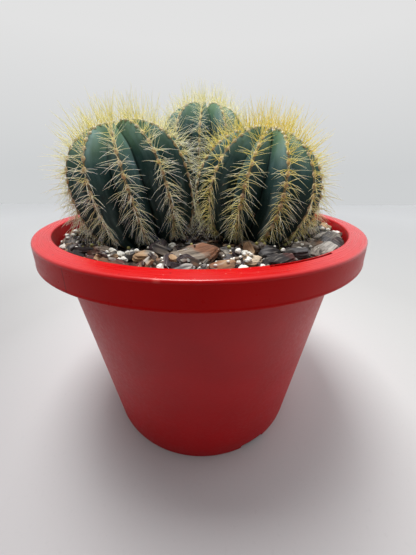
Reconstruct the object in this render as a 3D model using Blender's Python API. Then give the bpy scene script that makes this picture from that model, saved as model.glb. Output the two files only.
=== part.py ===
"""A clump of three round, ribbed cacti in a red plastic pot, mulched with bark and pumice.

Frame: the origin is on the pot's axis at the height of its foot, +Z is up and -Y is the front.
Every piece is at its real size, and each one keeps GAP to the piece that carries it.
"""

import math
import random

import bmesh
import bpy
from mathutils import Matrix, Vector
from mathutils.geometry import convex_hull_2d

MM = 0.001

# --- Driving dimensions -------------------------------------------------------------------------

GAP = 0.3 * MM  # clearance between pieces that touch

# The pot: one moulding with a ledge, a skirt that hangs from it, a tapered wall and a raised floor.
RIM_RADIUS = 100.0 * MM  # outside of the ledge
POT_HEIGHT = 145.5 * MM
BASE_RADIUS = 76.1 * MM
LEDGE_WIDTH = 8.9 * MM
LEDGE_THICKNESS = 2.0 * MM
LEDGE_FALL = 0.5 * MM  # the ledge is this much lower at its outer edge
LEDGE_ROUND = 1.2 * MM  # radius of the ledge's outer edge
LEDGE_CHAMFER = 0.6 * MM  # on the ledge's inner edge
SKIRT_DEPTH = 12.5 * MM
SKIRT_FLARE = 0.8 * MM  # the skirt's lower edge stands out this far
SKIRT_WALL = 1.8 * MM
WALL = 1.8 * MM
SHOULDER_STEP = 3.4 * MM  # the wall steps in by this much under the ledge
SHOULDER_HEIGHT = 2.2 * MM
SHOULDER_HIDDEN = 0.4 * MM  # the shoulder starts this far above the skirt's lower edge
FLOOR_LIFT = 4.5 * MM
FLOOR_THICKNESS = 2.0 * MM
FLOOR_FILLET = 4.0 * MM
FOOT_WIDTH = 2.4 * MM
FOOT_ROUND = 0.8 * MM
POT_SEGMENTS = 64

NOTCH_COUNT = 3
NOTCH_BEARING = 28.5  # degrees from the front towards +X
NOTCH_WIDTH = 18.5 * MM
NOTCH_HEIGHT = 3.2 * MM

DRAIN_COUNT = 6
DRAIN_RADIUS = 4.5 * MM
DRAIN_RING_RADIUS = 52.0 * MM

SLIT_BEARING = 31.2  # degrees from the front towards +X
SLIT_LENGTH = 20.0 * MM
SLIT_WIDTH = 1.5 * MM
SLIT_DEPTH = 1.2 * MM
SLIT_STEPS = 6

# The potting mix: a plug that fills the pot, with a gently sloping top.
SOIL_DROP = 8.0 * MM  # below the rim, on the pot's axis
SOIL_SLOPE_X = 0.020  # rises towards +X
SOIL_SLOPE_Y = -0.015  # rises towards the front

# The heads. Each is a ribbed body of revolution about a leaning axis.
RIB_COUNT = 12
RIB_DEPTH = 0.27  # of the crest radius
FLANK_BULGE = 1.3  # above 1, the ribs' sides swell outwards
SEAT_LATITUDE = -64.0  # degrees: a head is cut flat here, where it sits in the mix
CROWN_DIP = 1.5 * MM
HEAD_SEGMENTS = 4 * RIB_COUNT
HEAD_RINGS = 14
HEAD_SPACING = 0.3 * MM  # between the crests of the two front heads
REAR_SPACING = 1.5 * MM  # between the rear head and each front head
FRONT_ROW_Y = -19.5 * MM
CLUMP_MIDDLE_X = -2.65 * MM  # the two front heads meet here
REAR_HEAD_X = 1.0 * MM
LEFT_RADIUS = 35.3 * MM  # to the crests, at the widest ring
RIGHT_RADIUS = 35.7 * MM
REAR_RADIUS = 35.5 * MM
LEFT_HALF_HEIGHT = 34.9 * MM
RIGHT_HALF_HEIGHT = 33.2 * MM
REAR_ABOVE = 37.0 * MM  # the rear head is taller below its widest ring than above it
REAR_BELOW = 56.0 * MM
LEFT_RISE = 27.6 * MM  # from the mix to the widest ring
RIGHT_RISE = 27.1 * MM
REAR_RISE = 46.5 * MM

# The spines, which stand on the ribs' crests: here one coat on each head.
SPINE_LENGTH = 12.0 * MM
CROWN_TUFT = 15.0 * MM
COAT_THICKNESS = 0.8 * MM
COAT_HALF_WIDTH = 1.2 * MM
COAT_LOWEST_RING = 3  # rings of the head below this one carry no spines
COAT_ROOM = 2.6 * MM  # the coat stops where the next head or the mulch is nearer than this
SPINE_LEAN = 0.35  # how far the spines lean up towards the crown

# The mulch: bark chips and pumice stones that lie on the mix.
CHIP_SIDES = 7
CHIP_TAPER = 0.80  # the chip's top face, against its outline
MULCH_HEIGHT = 8.0 * MM  # no piece of mulch stands higher than this above the mix
STONE_FLATNESS = 0.75
HEAD_CLEARANCE = 0.9 * MM  # kept between the mulch and a head's crests
CHIP_WEAR = 0.25  # how much lower than its thickness a corner of a chip may be
SEARCH_STEP = 1.0 * MM
SEARCH_REACH = 60
SEARCH_BEARINGS = 16

# Bark chips: bearing from the front towards +X in degrees, share of the way to the wall,
# length, width and thickness in mm, and the long side's turn in degrees.
CHIPS = {
    "bark_chip_big_brown": (-2, 0.73, 27, 17, 5.5, 12),
    "bark_chip_tan": (7, 0.90, 15, 9, 4.5, 20),
    "bark_chip_grey_long": (15, 0.72, 18, 9, 4.5, -28),
    "bark_chip_ribbed_grey": (-4, 0.93, 12, 7, 4.5, 35),
    "bark_chip_brown_long": (-15, 0.88, 17, 8, 4.0, 25),
    "bark_chip_purple_black": (-21, 0.64, 15, 8, 6.0, 70),
    "bark_chip_light_grey": (-21, 0.77, 13, 8, 4.5, -8),
    "bark_chip_red_brown": (-25, 0.92, 17, 8, 4.5, -20),
    "bark_chip_dark_flat": (-33, 0.93, 13, 8, 4.0, -35),
    "bark_chip_round_brown": (-38, 0.87, 13, 10, 5.0, -30),
    "bark_chip_slate": (-49, 0.92, 18, 9, 4.0, -45),
    "bark_chip_wall_grey": (-65, 0.93, 17, 9, 4.0, -68),
    "bark_chip_dark_left": (-80, 0.94, 15, 8, 4.0, 85),
    "bark_chip_pale_flat": (17, 0.84, 13, 8, 4.0, 15),
    "bark_chip_red_black": (26, 0.88, 19, 9, 4.5, 22),
    "bark_chip_dark_step": (29, 0.77, 12, 8, 4.0, 10),
    "bark_chip_brown_nugget": (29, 0.63, 13, 9, 5.5, -30),
    "bark_chip_flat_shelf": (35, 0.80, 16, 8, 4.0, 12),
    "bark_chip_pale_grey": (40, 0.91, 19, 11, 4.5, 38),
    "bark_chip_brown_small": (49, 0.87, 11, 7, 4.0, 20),
    "bark_chip_big_grey": (58, 0.91, 20, 12, 4.5, 55),
    "bark_chip_dark_right": (72, 0.88, 12, 8, 4.0, 75),
    "bark_chip_tan_right": (82, 0.93, 14, 8, 4.5, 82),
}

# Chips round the back, which a loop lays at equal bearings with these sizes in turn.
BACK_CHIPS = 10
BACK_CHIP_FIRST = 100.0  # degrees from the front towards +X
BACK_CHIP_LAST = 262.0
BACK_CHIP_REACH = 0.90
BACK_CHIP_SIZES = ((17, 9, 4.0), (13, 8, 4.5), (20, 10, 4.5), (11, 8, 4.0))

# Pumice stones: bearing and share of the way to the wall as above, and the half width in mm.
STONES = (
    (-54, 0.98, 2.8),
    (-31, 0.80, 2.6),
    (-28, 0.86, 2.4),
    (-12, 0.79, 2.2),
    (-10, 0.91, 2.9),
    (-19, 0.56, 2.5),
    (12, 0.83, 2.2),
    (12, 0.92, 2.8),
    (18, 0.93, 2.3),
    (46, 0.80, 2.8),
    (73, 0.97, 2.4),
    (88, 0.97, 2.6),
    (130, 0.94, 2.6),
    (175, 0.93, 2.4),
    (-130, 0.93, 2.7),
    (-100, 0.94, 2.4),
)

# --- Sizes worked out from the driving ones -----------------------------------------------------

INNER_RADIUS = RIM_RADIUS - LEDGE_WIDTH  # the ledge's inner edge
FLOOR_TOP = FLOOR_LIFT + FLOOR_THICKNESS
SKIRT_BOTTOM = POT_HEIGHT - SKIRT_DEPTH
SHOULDER_LOW = SKIRT_BOTTOM + SHOULDER_HIDDEN
SHOULDER_HIGH = SHOULDER_LOW + SHOULDER_HEIGHT
BODY_TOP_RADIUS = INNER_RADIUS - SHOULDER_STEP + WALL
BODY_TAPER = (BODY_TOP_RADIUS - BASE_RADIUS) / SHOULDER_LOW
SOIL_LEVEL = POT_HEIGHT - SOIL_DROP
SOIL_RADIUS = INNER_RADIUS - 2 * GAP


# --- Helpers ------------------------------------------------------------------------------------


def clear_scene():
    for obj in list(bpy.data.objects):
        bpy.data.objects.remove(obj, do_unlink=True)


def finish(name, color, roughness):
    """A Principled BSDF material with one colour."""
    material = bpy.data.materials.new(name)
    material.use_nodes = True
    shader = material.node_tree.nodes["Principled BSDF"]
    shader.inputs["Base Color"].default_value = (*color, 1.0)
    shader.inputs["Roughness"].default_value = roughness
    shader.inputs["Metallic"].default_value = 0.0
    return material


def add_object(name, bm, material=None, smooth_angle=40.0):
    """Turns a finished bmesh into a named object in the scene."""
    mesh = bpy.data.meshes.new(name)
    bm.to_mesh(mesh)
    bm.free()
    mesh.shade_smooth()
    mesh.set_sharp_from_angle(angle=math.radians(smooth_angle))
    obj = bpy.data.objects.new(name, mesh)
    bpy.context.scene.collection.objects.link(obj)
    if material is not None:
        mesh.materials.append(material)
    return obj


def cut(obj, cutter):
    """Takes a hidden cutter out of an object."""
    cutter.hide_render = True
    cutter.display_type = "WIRE"
    modifier = obj.modifiers.new(f"cut_{cutter.name}", "BOOLEAN")
    modifier.operation = "DIFFERENCE"
    modifier.solver = "EXACT"
    modifier.object = cutter


def turned(profile, segments, sweep=2 * math.pi):
    """Spins a profile of (radius, height) points about Z: a full turn, or a closed arc."""
    bm = bmesh.new()
    points = [bm.verts.new((radius, 0.0, height)) for radius, height in profile]
    edges = [bm.edges.new(pair) for pair in zip(points, points[1:])]
    full = sweep >= 2 * math.pi
    if not full:
        edges.append(bm.edges.new((points[-1], points[0])))
        bm.faces.new(points)
    bmesh.ops.spin(
        bm,
        geom=bm.faces[:] if not full else points + edges,
        cent=(0, 0, 0),
        axis=(0, 0, 1),
        angle=sweep,
        steps=segments,
        use_merge=full,
    )
    bmesh.ops.remove_doubles(bm, verts=bm.verts, dist=0.001 * MM)
    bmesh.ops.recalc_face_normals(bm, faces=bm.faces)
    return bm


def arc(radius, height, reach, angles):
    """Points of a round corner, as (radius, height) pairs about its centre."""
    turns = [math.radians(angle) for angle in angles]
    return [(radius + reach * math.cos(turn), height + reach * math.sin(turn)) for turn in turns]


def towards(bearing):
    """The flat direction at a bearing in degrees, from the front (-Y) towards +X."""
    angle = math.radians(bearing)
    return Vector((math.sin(angle), -math.cos(angle)))


def soil_height(x, y):
    """The height of the potting mix's top."""
    return SOIL_LEVEL + SOIL_SLOPE_X * x + SOIL_SLOPE_Y * y


# --- The pot ------------------------------------------------------------------------------------


def wall_radius(height):
    """The outer radius of the tapered wall."""
    return BASE_RADIUS + BODY_TAPER * height


def pot_profile():
    """Half of the pot's section, from the middle of the underside round to the middle inside."""
    foot_inner = BASE_RADIUS - FOOT_WIDTH
    ledge_outer = POT_HEIGHT - LEDGE_FALL
    rounding = arc(RIM_RADIUS - LEDGE_ROUND, ledge_outer - LEDGE_ROUND, LEDGE_ROUND, (0, 45, 90))
    fillet_top = FLOOR_TOP + FLOOR_FILLET
    inner_foot = wall_radius(fillet_top) - WALL
    fillet = arc(inner_foot - FLOOR_FILLET, fillet_top, FLOOR_FILLET, (0, -45, -90))
    return [
        (0.0, FLOOR_LIFT),
        (foot_inner, FLOOR_LIFT),
        (foot_inner, 0.0),
        (BASE_RADIUS - FOOT_ROUND, 0.0),
        (wall_radius(FOOT_ROUND), FOOT_ROUND),
        (BODY_TOP_RADIUS, SHOULDER_LOW),
        (INNER_RADIUS + WALL, SHOULDER_HIGH),
        (INNER_RADIUS + WALL, POT_HEIGHT - LEDGE_THICKNESS),
        (RIM_RADIUS - SKIRT_WALL, ledge_outer - LEDGE_THICKNESS),
        (RIM_RADIUS + SKIRT_FLARE - SKIRT_WALL, SKIRT_BOTTOM),
        (RIM_RADIUS + SKIRT_FLARE, SKIRT_BOTTOM),
        *rounding,
        (INNER_RADIUS + LEDGE_CHAMFER, POT_HEIGHT),
        (INNER_RADIUS, POT_HEIGHT - LEDGE_CHAMFER),
        (INNER_RADIUS, SHOULDER_HIGH),
        (BODY_TOP_RADIUS - WALL, SHOULDER_LOW),
        *fillet,
        (0.0, FLOOR_TOP),
    ]


def foot_notches():
    """Shallow openings through the foot ring, which let water out."""
    bm = bmesh.new()
    for index in range(NOTCH_COUNT):
        bearing = NOTCH_BEARING + index * 360.0 / NOTCH_COUNT
        turn = Matrix.Rotation(math.radians(bearing - 90.0), 4, "Z")
        place = Matrix.Translation((BASE_RADIUS - FOOT_WIDTH / 2, 0.0, 0.0))
        size = Matrix.Diagonal((4 * FOOT_WIDTH, NOTCH_WIDTH, 2 * NOTCH_HEIGHT, 1.0))
        bmesh.ops.create_cube(bm, size=1.0, matrix=turn @ place @ size)
    return add_object("foot_notch_cutter", bm)


def drain_holes():
    """Round drain holes in the pot's floor."""
    bm = bmesh.new()
    for index in range(DRAIN_COUNT):
        spot = DRAIN_RING_RADIUS * towards(index * 360.0 / DRAIN_COUNT)
        bmesh.ops.create_cone(
            bm,
            cap_ends=True,
            segments=16,
            radius1=DRAIN_RADIUS,
            radius2=DRAIN_RADIUS,
            depth=3 * FLOOR_TOP,
            matrix=Matrix.Translation((*spot, FLOOR_LIFT)),
        )
    return add_object("drain_hole_cutter", bm)


def rim_slit():
    """A narrow recess along the ledge's inner edge."""
    inside = INNER_RADIUS - 2 * SLIT_WIDTH
    outside = INNER_RADIUS + SLIT_WIDTH
    low = POT_HEIGHT - SLIT_DEPTH
    high = POT_HEIGHT + SLIT_DEPTH
    sweep = SLIT_LENGTH / INNER_RADIUS
    bm = turned([(inside, low), (outside, low), (outside, high), (inside, high)], SLIT_STEPS, sweep)
    start = math.radians(SLIT_BEARING - 90.0) - sweep / 2
    bmesh.ops.rotate(bm, verts=bm.verts, cent=(0, 0, 0), matrix=Matrix.Rotation(start, 3, "Z"))
    return add_object("rim_slit_cutter", bm)


def build_pot():
    red = finish("red_plastic", (0.42, 0.012, 0.016), 0.42)
    pot = add_object("pot", turned(pot_profile(), POT_SEGMENTS), red, 30.0)
    for cutter in (foot_notches(), drain_holes(), rim_slit()):
        cut(pot, cutter)
    return pot


# --- The heads ----------------------------------------------------------------------------------


class Head:
    """One cactus head: its axis, its crest radius and its profile."""

    def __init__(self, name, x, y, rise, lean, phase, radius, above, below, fullness):
        self.name = name
        self.centre = Vector((x, y, SOIL_LEVEL + rise))
        self.axis = Vector((*lean, 1.0)).normalized()
        self.side = Vector((0, 1, 0)).cross(self.axis).normalized()
        self.depth = self.axis.cross(self.side)
        self.phase = phase
        self.radius = radius
        self.above = above
        self.below = below
        self.fullness = fullness

    def crest(self, share):
        """The crest radius where share is 0 at the widest ring and 1 at the crown or -1 at the root."""
        return self.radius * (1.0 - abs(share) ** self.fullness) ** (1.0 / self.fullness)

    def point(self, angle, along, radius):
        """A point at an angle about the axis, a distance along it and a radius from it."""
        across = math.cos(angle) * self.side + math.sin(angle) * self.depth
        return self.centre + along * self.axis + radius * across

    def reach(self, latitude):
        """How far along the axis a ring lies."""
        share = math.sin(latitude)
        return share * (self.above if share > 0 else self.below)

    def clearance(self, point):
        """About how far a point is outside the crests."""
        offset = point - self.centre
        along = offset.dot(self.axis)
        across = (offset - along * self.axis).length
        half_height = self.above if along > 0 else self.below
        level = abs(along / half_height) ** self.fullness
        level += (across / self.radius) ** self.fullness
        return (level ** (1.0 / self.fullness) - 1.0) * self.radius


def front_head_x(sign, radius, other_radius):
    """The two front heads share the space beside the clump's middle line evenly."""
    return CLUMP_MIDDLE_X + sign * (radius + other_radius + HEAD_SPACING) / 2


def behind(x, rise, radius, fronts):
    """The Y at which a rear head just clears both front heads."""
    found = []
    for front in fronts:
        reach = front.radius + radius + REAR_SPACING
        across = x - front.centre.x
        up = SOIL_LEVEL + rise - front.centre.z
        found.append(front.centre.y + math.sqrt(max(reach**2 - across**2 - up**2, 0.0)))
    return max(found)


def make_heads():
    left = Head(
        name="left",
        x=front_head_x(-1, LEFT_RADIUS, RIGHT_RADIUS),
        y=FRONT_ROW_Y,
        rise=LEFT_RISE,
        lean=(-0.20, -0.06),
        phase=-1.90,
        radius=LEFT_RADIUS,
        above=LEFT_HALF_HEIGHT,
        below=LEFT_HALF_HEIGHT,
        fullness=2.4,
    )
    right = Head(
        name="right",
        x=front_head_x(1, LEFT_RADIUS, RIGHT_RADIUS),
        y=FRONT_ROW_Y,
        rise=RIGHT_RISE,
        lean=(0.18, -0.04),
        phase=-1.94,
        radius=RIGHT_RADIUS,
        above=RIGHT_HALF_HEIGHT,
        below=RIGHT_HALF_HEIGHT,
        fullness=2.0,
    )
    rear = Head(
        name="rear",
        x=REAR_HEAD_X,
        y=behind(REAR_HEAD_X, REAR_RISE, REAR_RADIUS, (left, right)),
        rise=REAR_RISE,
        lean=(0.04, 0.12),
        phase=-1.66,
        radius=REAR_RADIUS,
        above=REAR_ABOVE,
        below=REAR_BELOW,
        fullness=2.4,
    )
    return left, right, rear


def ring_latitude(ring):
    """The latitude of a head's ring in radians: ring 1 is the flat cut and HEAD_RINGS the crown."""
    low = math.radians(SEAT_LATITUDE)
    return low + (ring - 1) / (HEAD_RINGS - 1) * (math.pi / 2 - low)


def rib_share(angle):
    """1 on a crest and less in a valley between two crests."""
    from_crest = abs((angle * RIB_COUNT / math.pi + 1.0) % 2.0 - 1.0)
    return 1.0 - RIB_DEPTH * from_crest**FLANK_BULGE


def head_form(head, ribbed=True, grow=0.0):
    """A head as a sphere whose every point is moved to its place on the ribs.

    Without ribs, and grown by the clearance, it is the cutter for the head's seat in the mix.
    """
    bm = bmesh.new()
    bmesh.ops.create_uvsphere(bm, u_segments=HEAD_SEGMENTS, v_segments=HEAD_RINGS, radius=1.0)
    for vert in bm.verts:
        polar = math.asin(max(-1.0, min(1.0, vert.co.z)))
        ring = round((polar / math.pi + 0.5) * HEAD_RINGS)
        angle = math.atan2(vert.co.y, vert.co.x)
        latitude = ring_latitude(max(ring, 1))
        along = head.reach(latitude)
        radius = head.crest(math.sin(latitude)) + grow
        if ring == 0:
            radius = 0.0
        if ring == HEAD_RINGS:
            along = head.reach(ring_latitude(HEAD_RINGS - 1)) - CROWN_DIP
            radius = 0.0
        if ring <= 1:
            along -= grow
        if ribbed:
            radius *= rib_share(angle)
        vert.co = head.point(head.phase + angle, along, radius)
    bmesh.ops.recalc_face_normals(bm, faces=bm.faces)
    return bm


def build_stem(head, material):
    return add_object(f"stem_{head.name}", head_form(head), material, 25.0)


# --- The spines ---------------------------------------------------------------------------------


def crest_frame(head, rib, ring):
    """A crest's point, the outward direction there and the direction across the rib."""
    angle = head.phase + rib * 2 * math.pi / RIB_COUNT
    latitude = ring_latitude(ring)
    point = head.point(angle, head.reach(latitude), head.crest(math.sin(latitude)))
    outward = math.cos(latitude) * (head.point(angle, 0, 1) - head.centre)
    outward += math.sin(latitude) * head.axis
    across = head.point(angle + math.pi / 2, 0, 1) - head.centre
    return point, outward.normalized(), across


def room_beside(head, others, point):
    """The distance from a point on a head to the nearest other head."""
    return min(other.clearance(point) for other in others if other is not head)


def room_below(point):
    """The height of a point above the mulch."""
    return point.z - soil_height(point.x, point.y) - MULCH_HEIGHT


def coat_sheet(head, heads):
    """The coat's underside: a crown disc, and a strip down each crest as far as there is room."""
    bm = bmesh.new()
    crown = HEAD_RINGS - 1
    rim = []
    for rib in range(RIB_COUNT):
        point, _, across = crest_frame(head, rib, crown)
        for sign in (-1, 1):
            rim.append(bm.verts.new(point + GAP * head.axis + sign * COAT_HALF_WIDTH * across))
    bm.faces.new(rim)
    for rib in range(RIB_COUNT):
        left, right = rim[2 * rib], rim[2 * rib + 1]
        for ring in range(crown - 1, COAT_LOWEST_RING - 1, -1):
            point, outward, across = crest_frame(head, rib, ring)
            if room_beside(head, heads, point) < COAT_ROOM or room_below(point) < COAT_ROOM:
                break
            point = point + GAP * outward
            lower_left = bm.verts.new(point - COAT_HALF_WIDTH * across)
            lower_right = bm.verts.new(point + COAT_HALF_WIDTH * across)
            bm.faces.new((left, lower_left, lower_right, right))
            left, right = lower_left, lower_right
    return bm


def build_coat(head, heads, material):
    """Thickens the sheet outwards, then draws the middle of each outer face out into a spine."""
    bm = coat_sheet(head, heads)
    bmesh.ops.recalc_face_normals(bm, faces=bm.faces)
    if max(bm.faces, key=lambda face: len(face.verts)).normal.dot(head.axis) < 0:
        bmesh.ops.reverse_faces(bm, faces=bm.faces)
    under = set(bm.faces)
    lifted = bmesh.ops.extrude_face_region(bm, geom=list(under), use_keep_orig=True)["geom"]
    for vert in [item for item in lifted if isinstance(item, bmesh.types.BMVert)]:
        offset = vert.co - head.centre
        along = offset.dot(head.axis)
        outward = (offset - along * head.axis) / head.radius + along / head.above * head.axis
        vert.co += COAT_THICKNESS * outward.normalized()
    outer = [item for item in lifted if isinstance(item, bmesh.types.BMFace)]
    bmesh.ops.recalc_face_normals(bm, faces=bm.faces)
    crown = max(outer, key=lambda face: len(face.verts))
    for face in outer:
        middle = face.calc_center_median()
        direction = (face.normal + SPINE_LEAN * head.axis).normalized()
        length = CROWN_TUFT if face is crown else SPINE_LENGTH
        length = min(length, 0.4 * room_beside(head, heads, middle))
        if direction.z < 0:
            length = min(length, room_below(middle) / -direction.z)
        tip = bmesh.ops.poke(bm, faces=[face])["verts"][0]
        tip.co = middle + length * direction
    bmesh.ops.recalc_face_normals(bm, faces=bm.faces)
    return add_object(f"spines_{head.name}", bm, material, 30.0)


# --- The potting mix ----------------------------------------------------------------------------


def build_soil(heads):
    fillet_top = FLOOR_TOP + FLOOR_FILLET
    inner_foot = wall_radius(fillet_top) - WALL - GAP
    profile = [
        (0.0, FLOOR_TOP + GAP),
        (inner_foot - FLOOR_FILLET, FLOOR_TOP + GAP),
        (inner_foot, fillet_top),
        (BODY_TOP_RADIUS - WALL - GAP, SHOULDER_LOW),
        (SOIL_RADIUS, SHOULDER_HIGH + GAP),
        (SOIL_RADIUS, SOIL_LEVEL),
        (0.0, SOIL_LEVEL),
    ]
    bm = turned(profile, POT_SEGMENTS)
    for vert in bm.verts:
        if vert.co.z > SOIL_LEVEL - GAP:
            vert.co.z = soil_height(vert.co.x, vert.co.y)
    soil = add_object("potting_mix", bm, finish("soil", (0.030, 0.022, 0.016), 0.95))
    for head in heads:
        seat = add_object(f"seat_cutter_{head.name}", head_form(head, ribbed=False, grow=GAP))
        cut(soil, seat)
    return soil


# --- The mulch ----------------------------------------------------------------------------------


def apart(first, second):
    """Whether two convex outlines keep GAP between them."""
    for outline, other in ((first, second), (second, first)):
        for start, end in zip(outline, outline[1:] + outline[:1]):
            normal = Vector((end.y - start.y, start.x - end.x)).normalized()
            if min(point.dot(normal) for point in other) - start.dot(normal) >= GAP:
                return True
    return False


def blob_outline(length, width, sides, rng):
    """A rough convex outline, counter-clockwise about the origin."""
    points = []
    for index in range(sides):
        angle = 2 * math.pi * (index + rng.uniform(-0.25, 0.25)) / sides
        reach = rng.uniform(0.88, 1.0) / 2
        points.append(Vector((length * reach * math.cos(angle), width * reach * math.sin(angle))))
    return [points[index] for index in convex_hull_2d(points)]


def turned_outline(outline, degrees):
    angle = math.radians(degrees)
    return [Matrix.Rotation(angle, 2) @ point for point in outline]


def is_free(outline, heads, laid):
    """Whether an outline stays inside the wall and clear of the heads and of the pieces laid."""
    if max(point.length for point in outline) > SOIL_RADIUS - GAP:
        return False
    for head in heads:
        level = soil_height(head.centre.x, head.centre.y) + MULCH_HEIGHT
        along = (level - head.centre.z) / head.axis.z
        middle = head.centre + along * head.axis
        radius = head.crest(along / head.below) + HEAD_CLEARANCE
        corners = [radius * towards(bearing) for bearing in range(0, 360, 15)]
        foot = [middle.xy + corner for corner in corners]
        if not apart(foot, outline):
            return False
    return all(apart(other, outline) for other in laid)


def lay(outline, spot, heads, laid):
    """Moves an outline to the free place nearest to a spot, and marks the place as taken."""
    for step in range(SEARCH_REACH):
        for index in range(SEARCH_BEARINGS if step else 1):
            shift = step * SEARCH_STEP * towards(index * 360.0 / SEARCH_BEARINGS)
            moved = [point + spot + shift for point in outline]
            if is_free(moved, heads, laid):
                laid.append(moved)
                return moved
    raise ValueError("there is no room left on the mix for this piece of mulch")


def build_chip(name, outline, thickness, rng, material):
    """A flat chip that lies on the mix: straight sides, then a smaller, uneven top face."""
    middle = sum(outline, Vector((0, 0))) / len(outline)
    bm = bmesh.new()
    face = bm.faces.new([bm.verts.new((point.x, point.y, 0.0)) for point in outline])
    for height, scale in ((0.6, 1.0), (1.0, CHIP_TAPER)):
        face = bmesh.ops.extrude_discrete_faces(bm, faces=[face])["faces"][0]
        for vert, corner in zip(face.verts, outline):
            flat = middle + scale * (Vector(vert.co.xy) - middle)
            lift = thickness * height * (1.0 - rng.uniform(0.0, CHIP_WEAR))
            vert.co = (flat.x, flat.y, lift)
    bm.faces.new(list(reversed([vert for vert in bm.verts if vert.co.z == 0.0])))
    for vert in bm.verts:
        vert.co.z += soil_height(vert.co.x, vert.co.y) + GAP
    bmesh.ops.recalc_face_normals(bm, faces=bm.faces)
    return add_object(name, bm, material, 20.0)


def build_stone(name, outline, half_width, rng, material):
    """A rounded, uneven pumice stone that rests on its lowest point."""
    middle = sum(outline, Vector((0, 0))) / len(outline)
    bm = bmesh.new()
    bmesh.ops.create_icosphere(bm, subdivisions=1, radius=half_width)
    lowest = min(bm.verts, key=lambda vert: vert.co.z)
    for vert in bm.verts:
        if vert is not lowest:
            vert.co *= rng.uniform(0.88, 1.0)
        vert.co.z *= STONE_FLATNESS
    height = soil_height(*middle) + STONE_FLATNESS * half_width + GAP
    bmesh.ops.translate(bm, verts=bm.verts, vec=(middle.x, middle.y, height))
    return add_object(name, bm, material, 60.0)


def back_chips():
    """The chips round the back, as entries like those of CHIPS."""
    step = (BACK_CHIP_LAST - BACK_CHIP_FIRST) / (BACK_CHIPS - 1)
    found = {}
    for index in range(BACK_CHIPS):
        bearing = BACK_CHIP_FIRST + index * step
        length, width, thickness = BACK_CHIP_SIZES[index % len(BACK_CHIP_SIZES)]
        turn = bearing + 25.0 * (-1) ** index
        name = f"bark_chip_back_{index + 1:02d}"
        found[name] = (bearing, BACK_CHIP_REACH, length, width, thickness, turn)
    return found


def build_mulch(heads):
    rng = random.Random(12)
    bark = finish("bark", (0.080, 0.052, 0.038), 0.85)
    pumice = finish("pumice", (0.70, 0.67, 0.58), 0.90)
    laid = []
    for name, (bearing, share, length, width, thick, turn) in {**CHIPS, **back_chips()}.items():
        outline = blob_outline(length * MM, width * MM, CHIP_SIDES, rng)
        spot = share * SOIL_RADIUS * towards(bearing)
        place = lay(turned_outline(outline, turn), spot, heads, laid)
        build_chip(name, place, thick * MM, rng, bark)
    for index, (bearing, share, half_width) in enumerate(STONES):
        outline = [half_width * MM * towards(corner) for corner in range(360, 0, -30)]
        spot = share * SOIL_RADIUS * towards(bearing)
        place = lay(list(reversed(outline)), spot, heads, laid)
        build_stone(f"pumice_{index + 1:02d}", place, half_width * MM, rng, pumice)


# --- The whole plant ----------------------------------------------------------------------------


def main():
    clear_scene()
    heads = make_heads()
    skin = finish("cactus_skin", (0.045, 0.110, 0.090), 0.55)
    spines = finish("spines", (0.62, 0.50, 0.16), 0.60)
    build_pot()
    build_soil(heads)
    for head in heads:
        build_stem(head, skin)
        build_coat(head, heads, spines)
    build_mulch(heads)


main()
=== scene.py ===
# %% [markdown]
# # Three round cacti in a red plastic pot
#
# This lesson dresses a plain solid model of a potted cactus clump. The solids give the sizes and
# the places: a moulded pot, the potting mix in it, three ribbed heads, a coat of spines on each
# head, bark chips and pumice stones. Every solid is replaced here by a piece that looks like the
# real thing, in the same place and at the same size.
#
# The steps go from the large to the small: the camera and the light, the pot, the heads and their
# spines, the mix, and last the mulch, which is laid on the mix one layer after another.

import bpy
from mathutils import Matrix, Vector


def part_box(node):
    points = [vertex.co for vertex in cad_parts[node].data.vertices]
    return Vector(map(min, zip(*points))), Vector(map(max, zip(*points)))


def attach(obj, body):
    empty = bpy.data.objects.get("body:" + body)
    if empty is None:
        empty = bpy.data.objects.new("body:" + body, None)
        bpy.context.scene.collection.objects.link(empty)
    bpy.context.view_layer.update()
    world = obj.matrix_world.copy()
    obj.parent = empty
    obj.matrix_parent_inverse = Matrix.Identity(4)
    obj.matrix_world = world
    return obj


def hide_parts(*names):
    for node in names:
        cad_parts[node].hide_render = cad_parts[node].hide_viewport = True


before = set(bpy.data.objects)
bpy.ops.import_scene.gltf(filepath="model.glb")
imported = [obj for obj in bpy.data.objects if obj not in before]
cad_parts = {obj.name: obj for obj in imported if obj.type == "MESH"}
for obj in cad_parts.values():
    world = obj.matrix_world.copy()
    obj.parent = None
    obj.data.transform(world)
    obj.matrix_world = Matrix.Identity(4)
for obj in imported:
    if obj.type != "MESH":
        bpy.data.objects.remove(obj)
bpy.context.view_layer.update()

# %% Tools and units
import math
import random

import bmesh
import bpy
from mathutils import Matrix, Vector, noise
from mathutils.bvhtree import BVHTree

MM = 0.001
NOISE_SEED = 21

noise.seed_set(NOISE_SEED)  # without this, noise vectors differ from run to run


def tint(red, green, blue):
    """A colour in the 0 to 255 steps of a display, as the linear colour that a shader takes."""
    steps = [level / 255.0 for level in (red, green, blue)]
    return (*[step / 12.92 if step < 0.04 else ((step + 0.055) / 1.055) ** 2.4 for step in steps], 1.0)


def mixed(first, second, share):
    """A blend of two colours or vectors."""
    return [one + share * (other - one) for one, other in zip(first, second)]


def held(value, low=0.0, high=1.0):
    return max(low, min(high, value))


# %% [markdown]
# ## The camera
#
# A wide lens close to the pot makes the rim loom and the foot shrink. The camera looks down a
# little, from just above the rim, and it's turned a quarter of a degree about its own axis. The
# "Standard" view transform keeps the reds as strong as the plastic is; a filmic one would turn
# them pink.

# %% Place the camera
CAMERA_PLACE = Vector((4.4, -164.1, 176.4)) * MM
CAMERA_PITCH = 64.8  # degrees up from straight down
CAMERA_ROLL = 0.004  # radians
CAMERA_LENS = 14.72  # mm, on the sensor's long side
CAMERA_SENSOR = 36.0
CAMERA_NEAR = 5 * MM  # nothing closer than this is drawn

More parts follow.
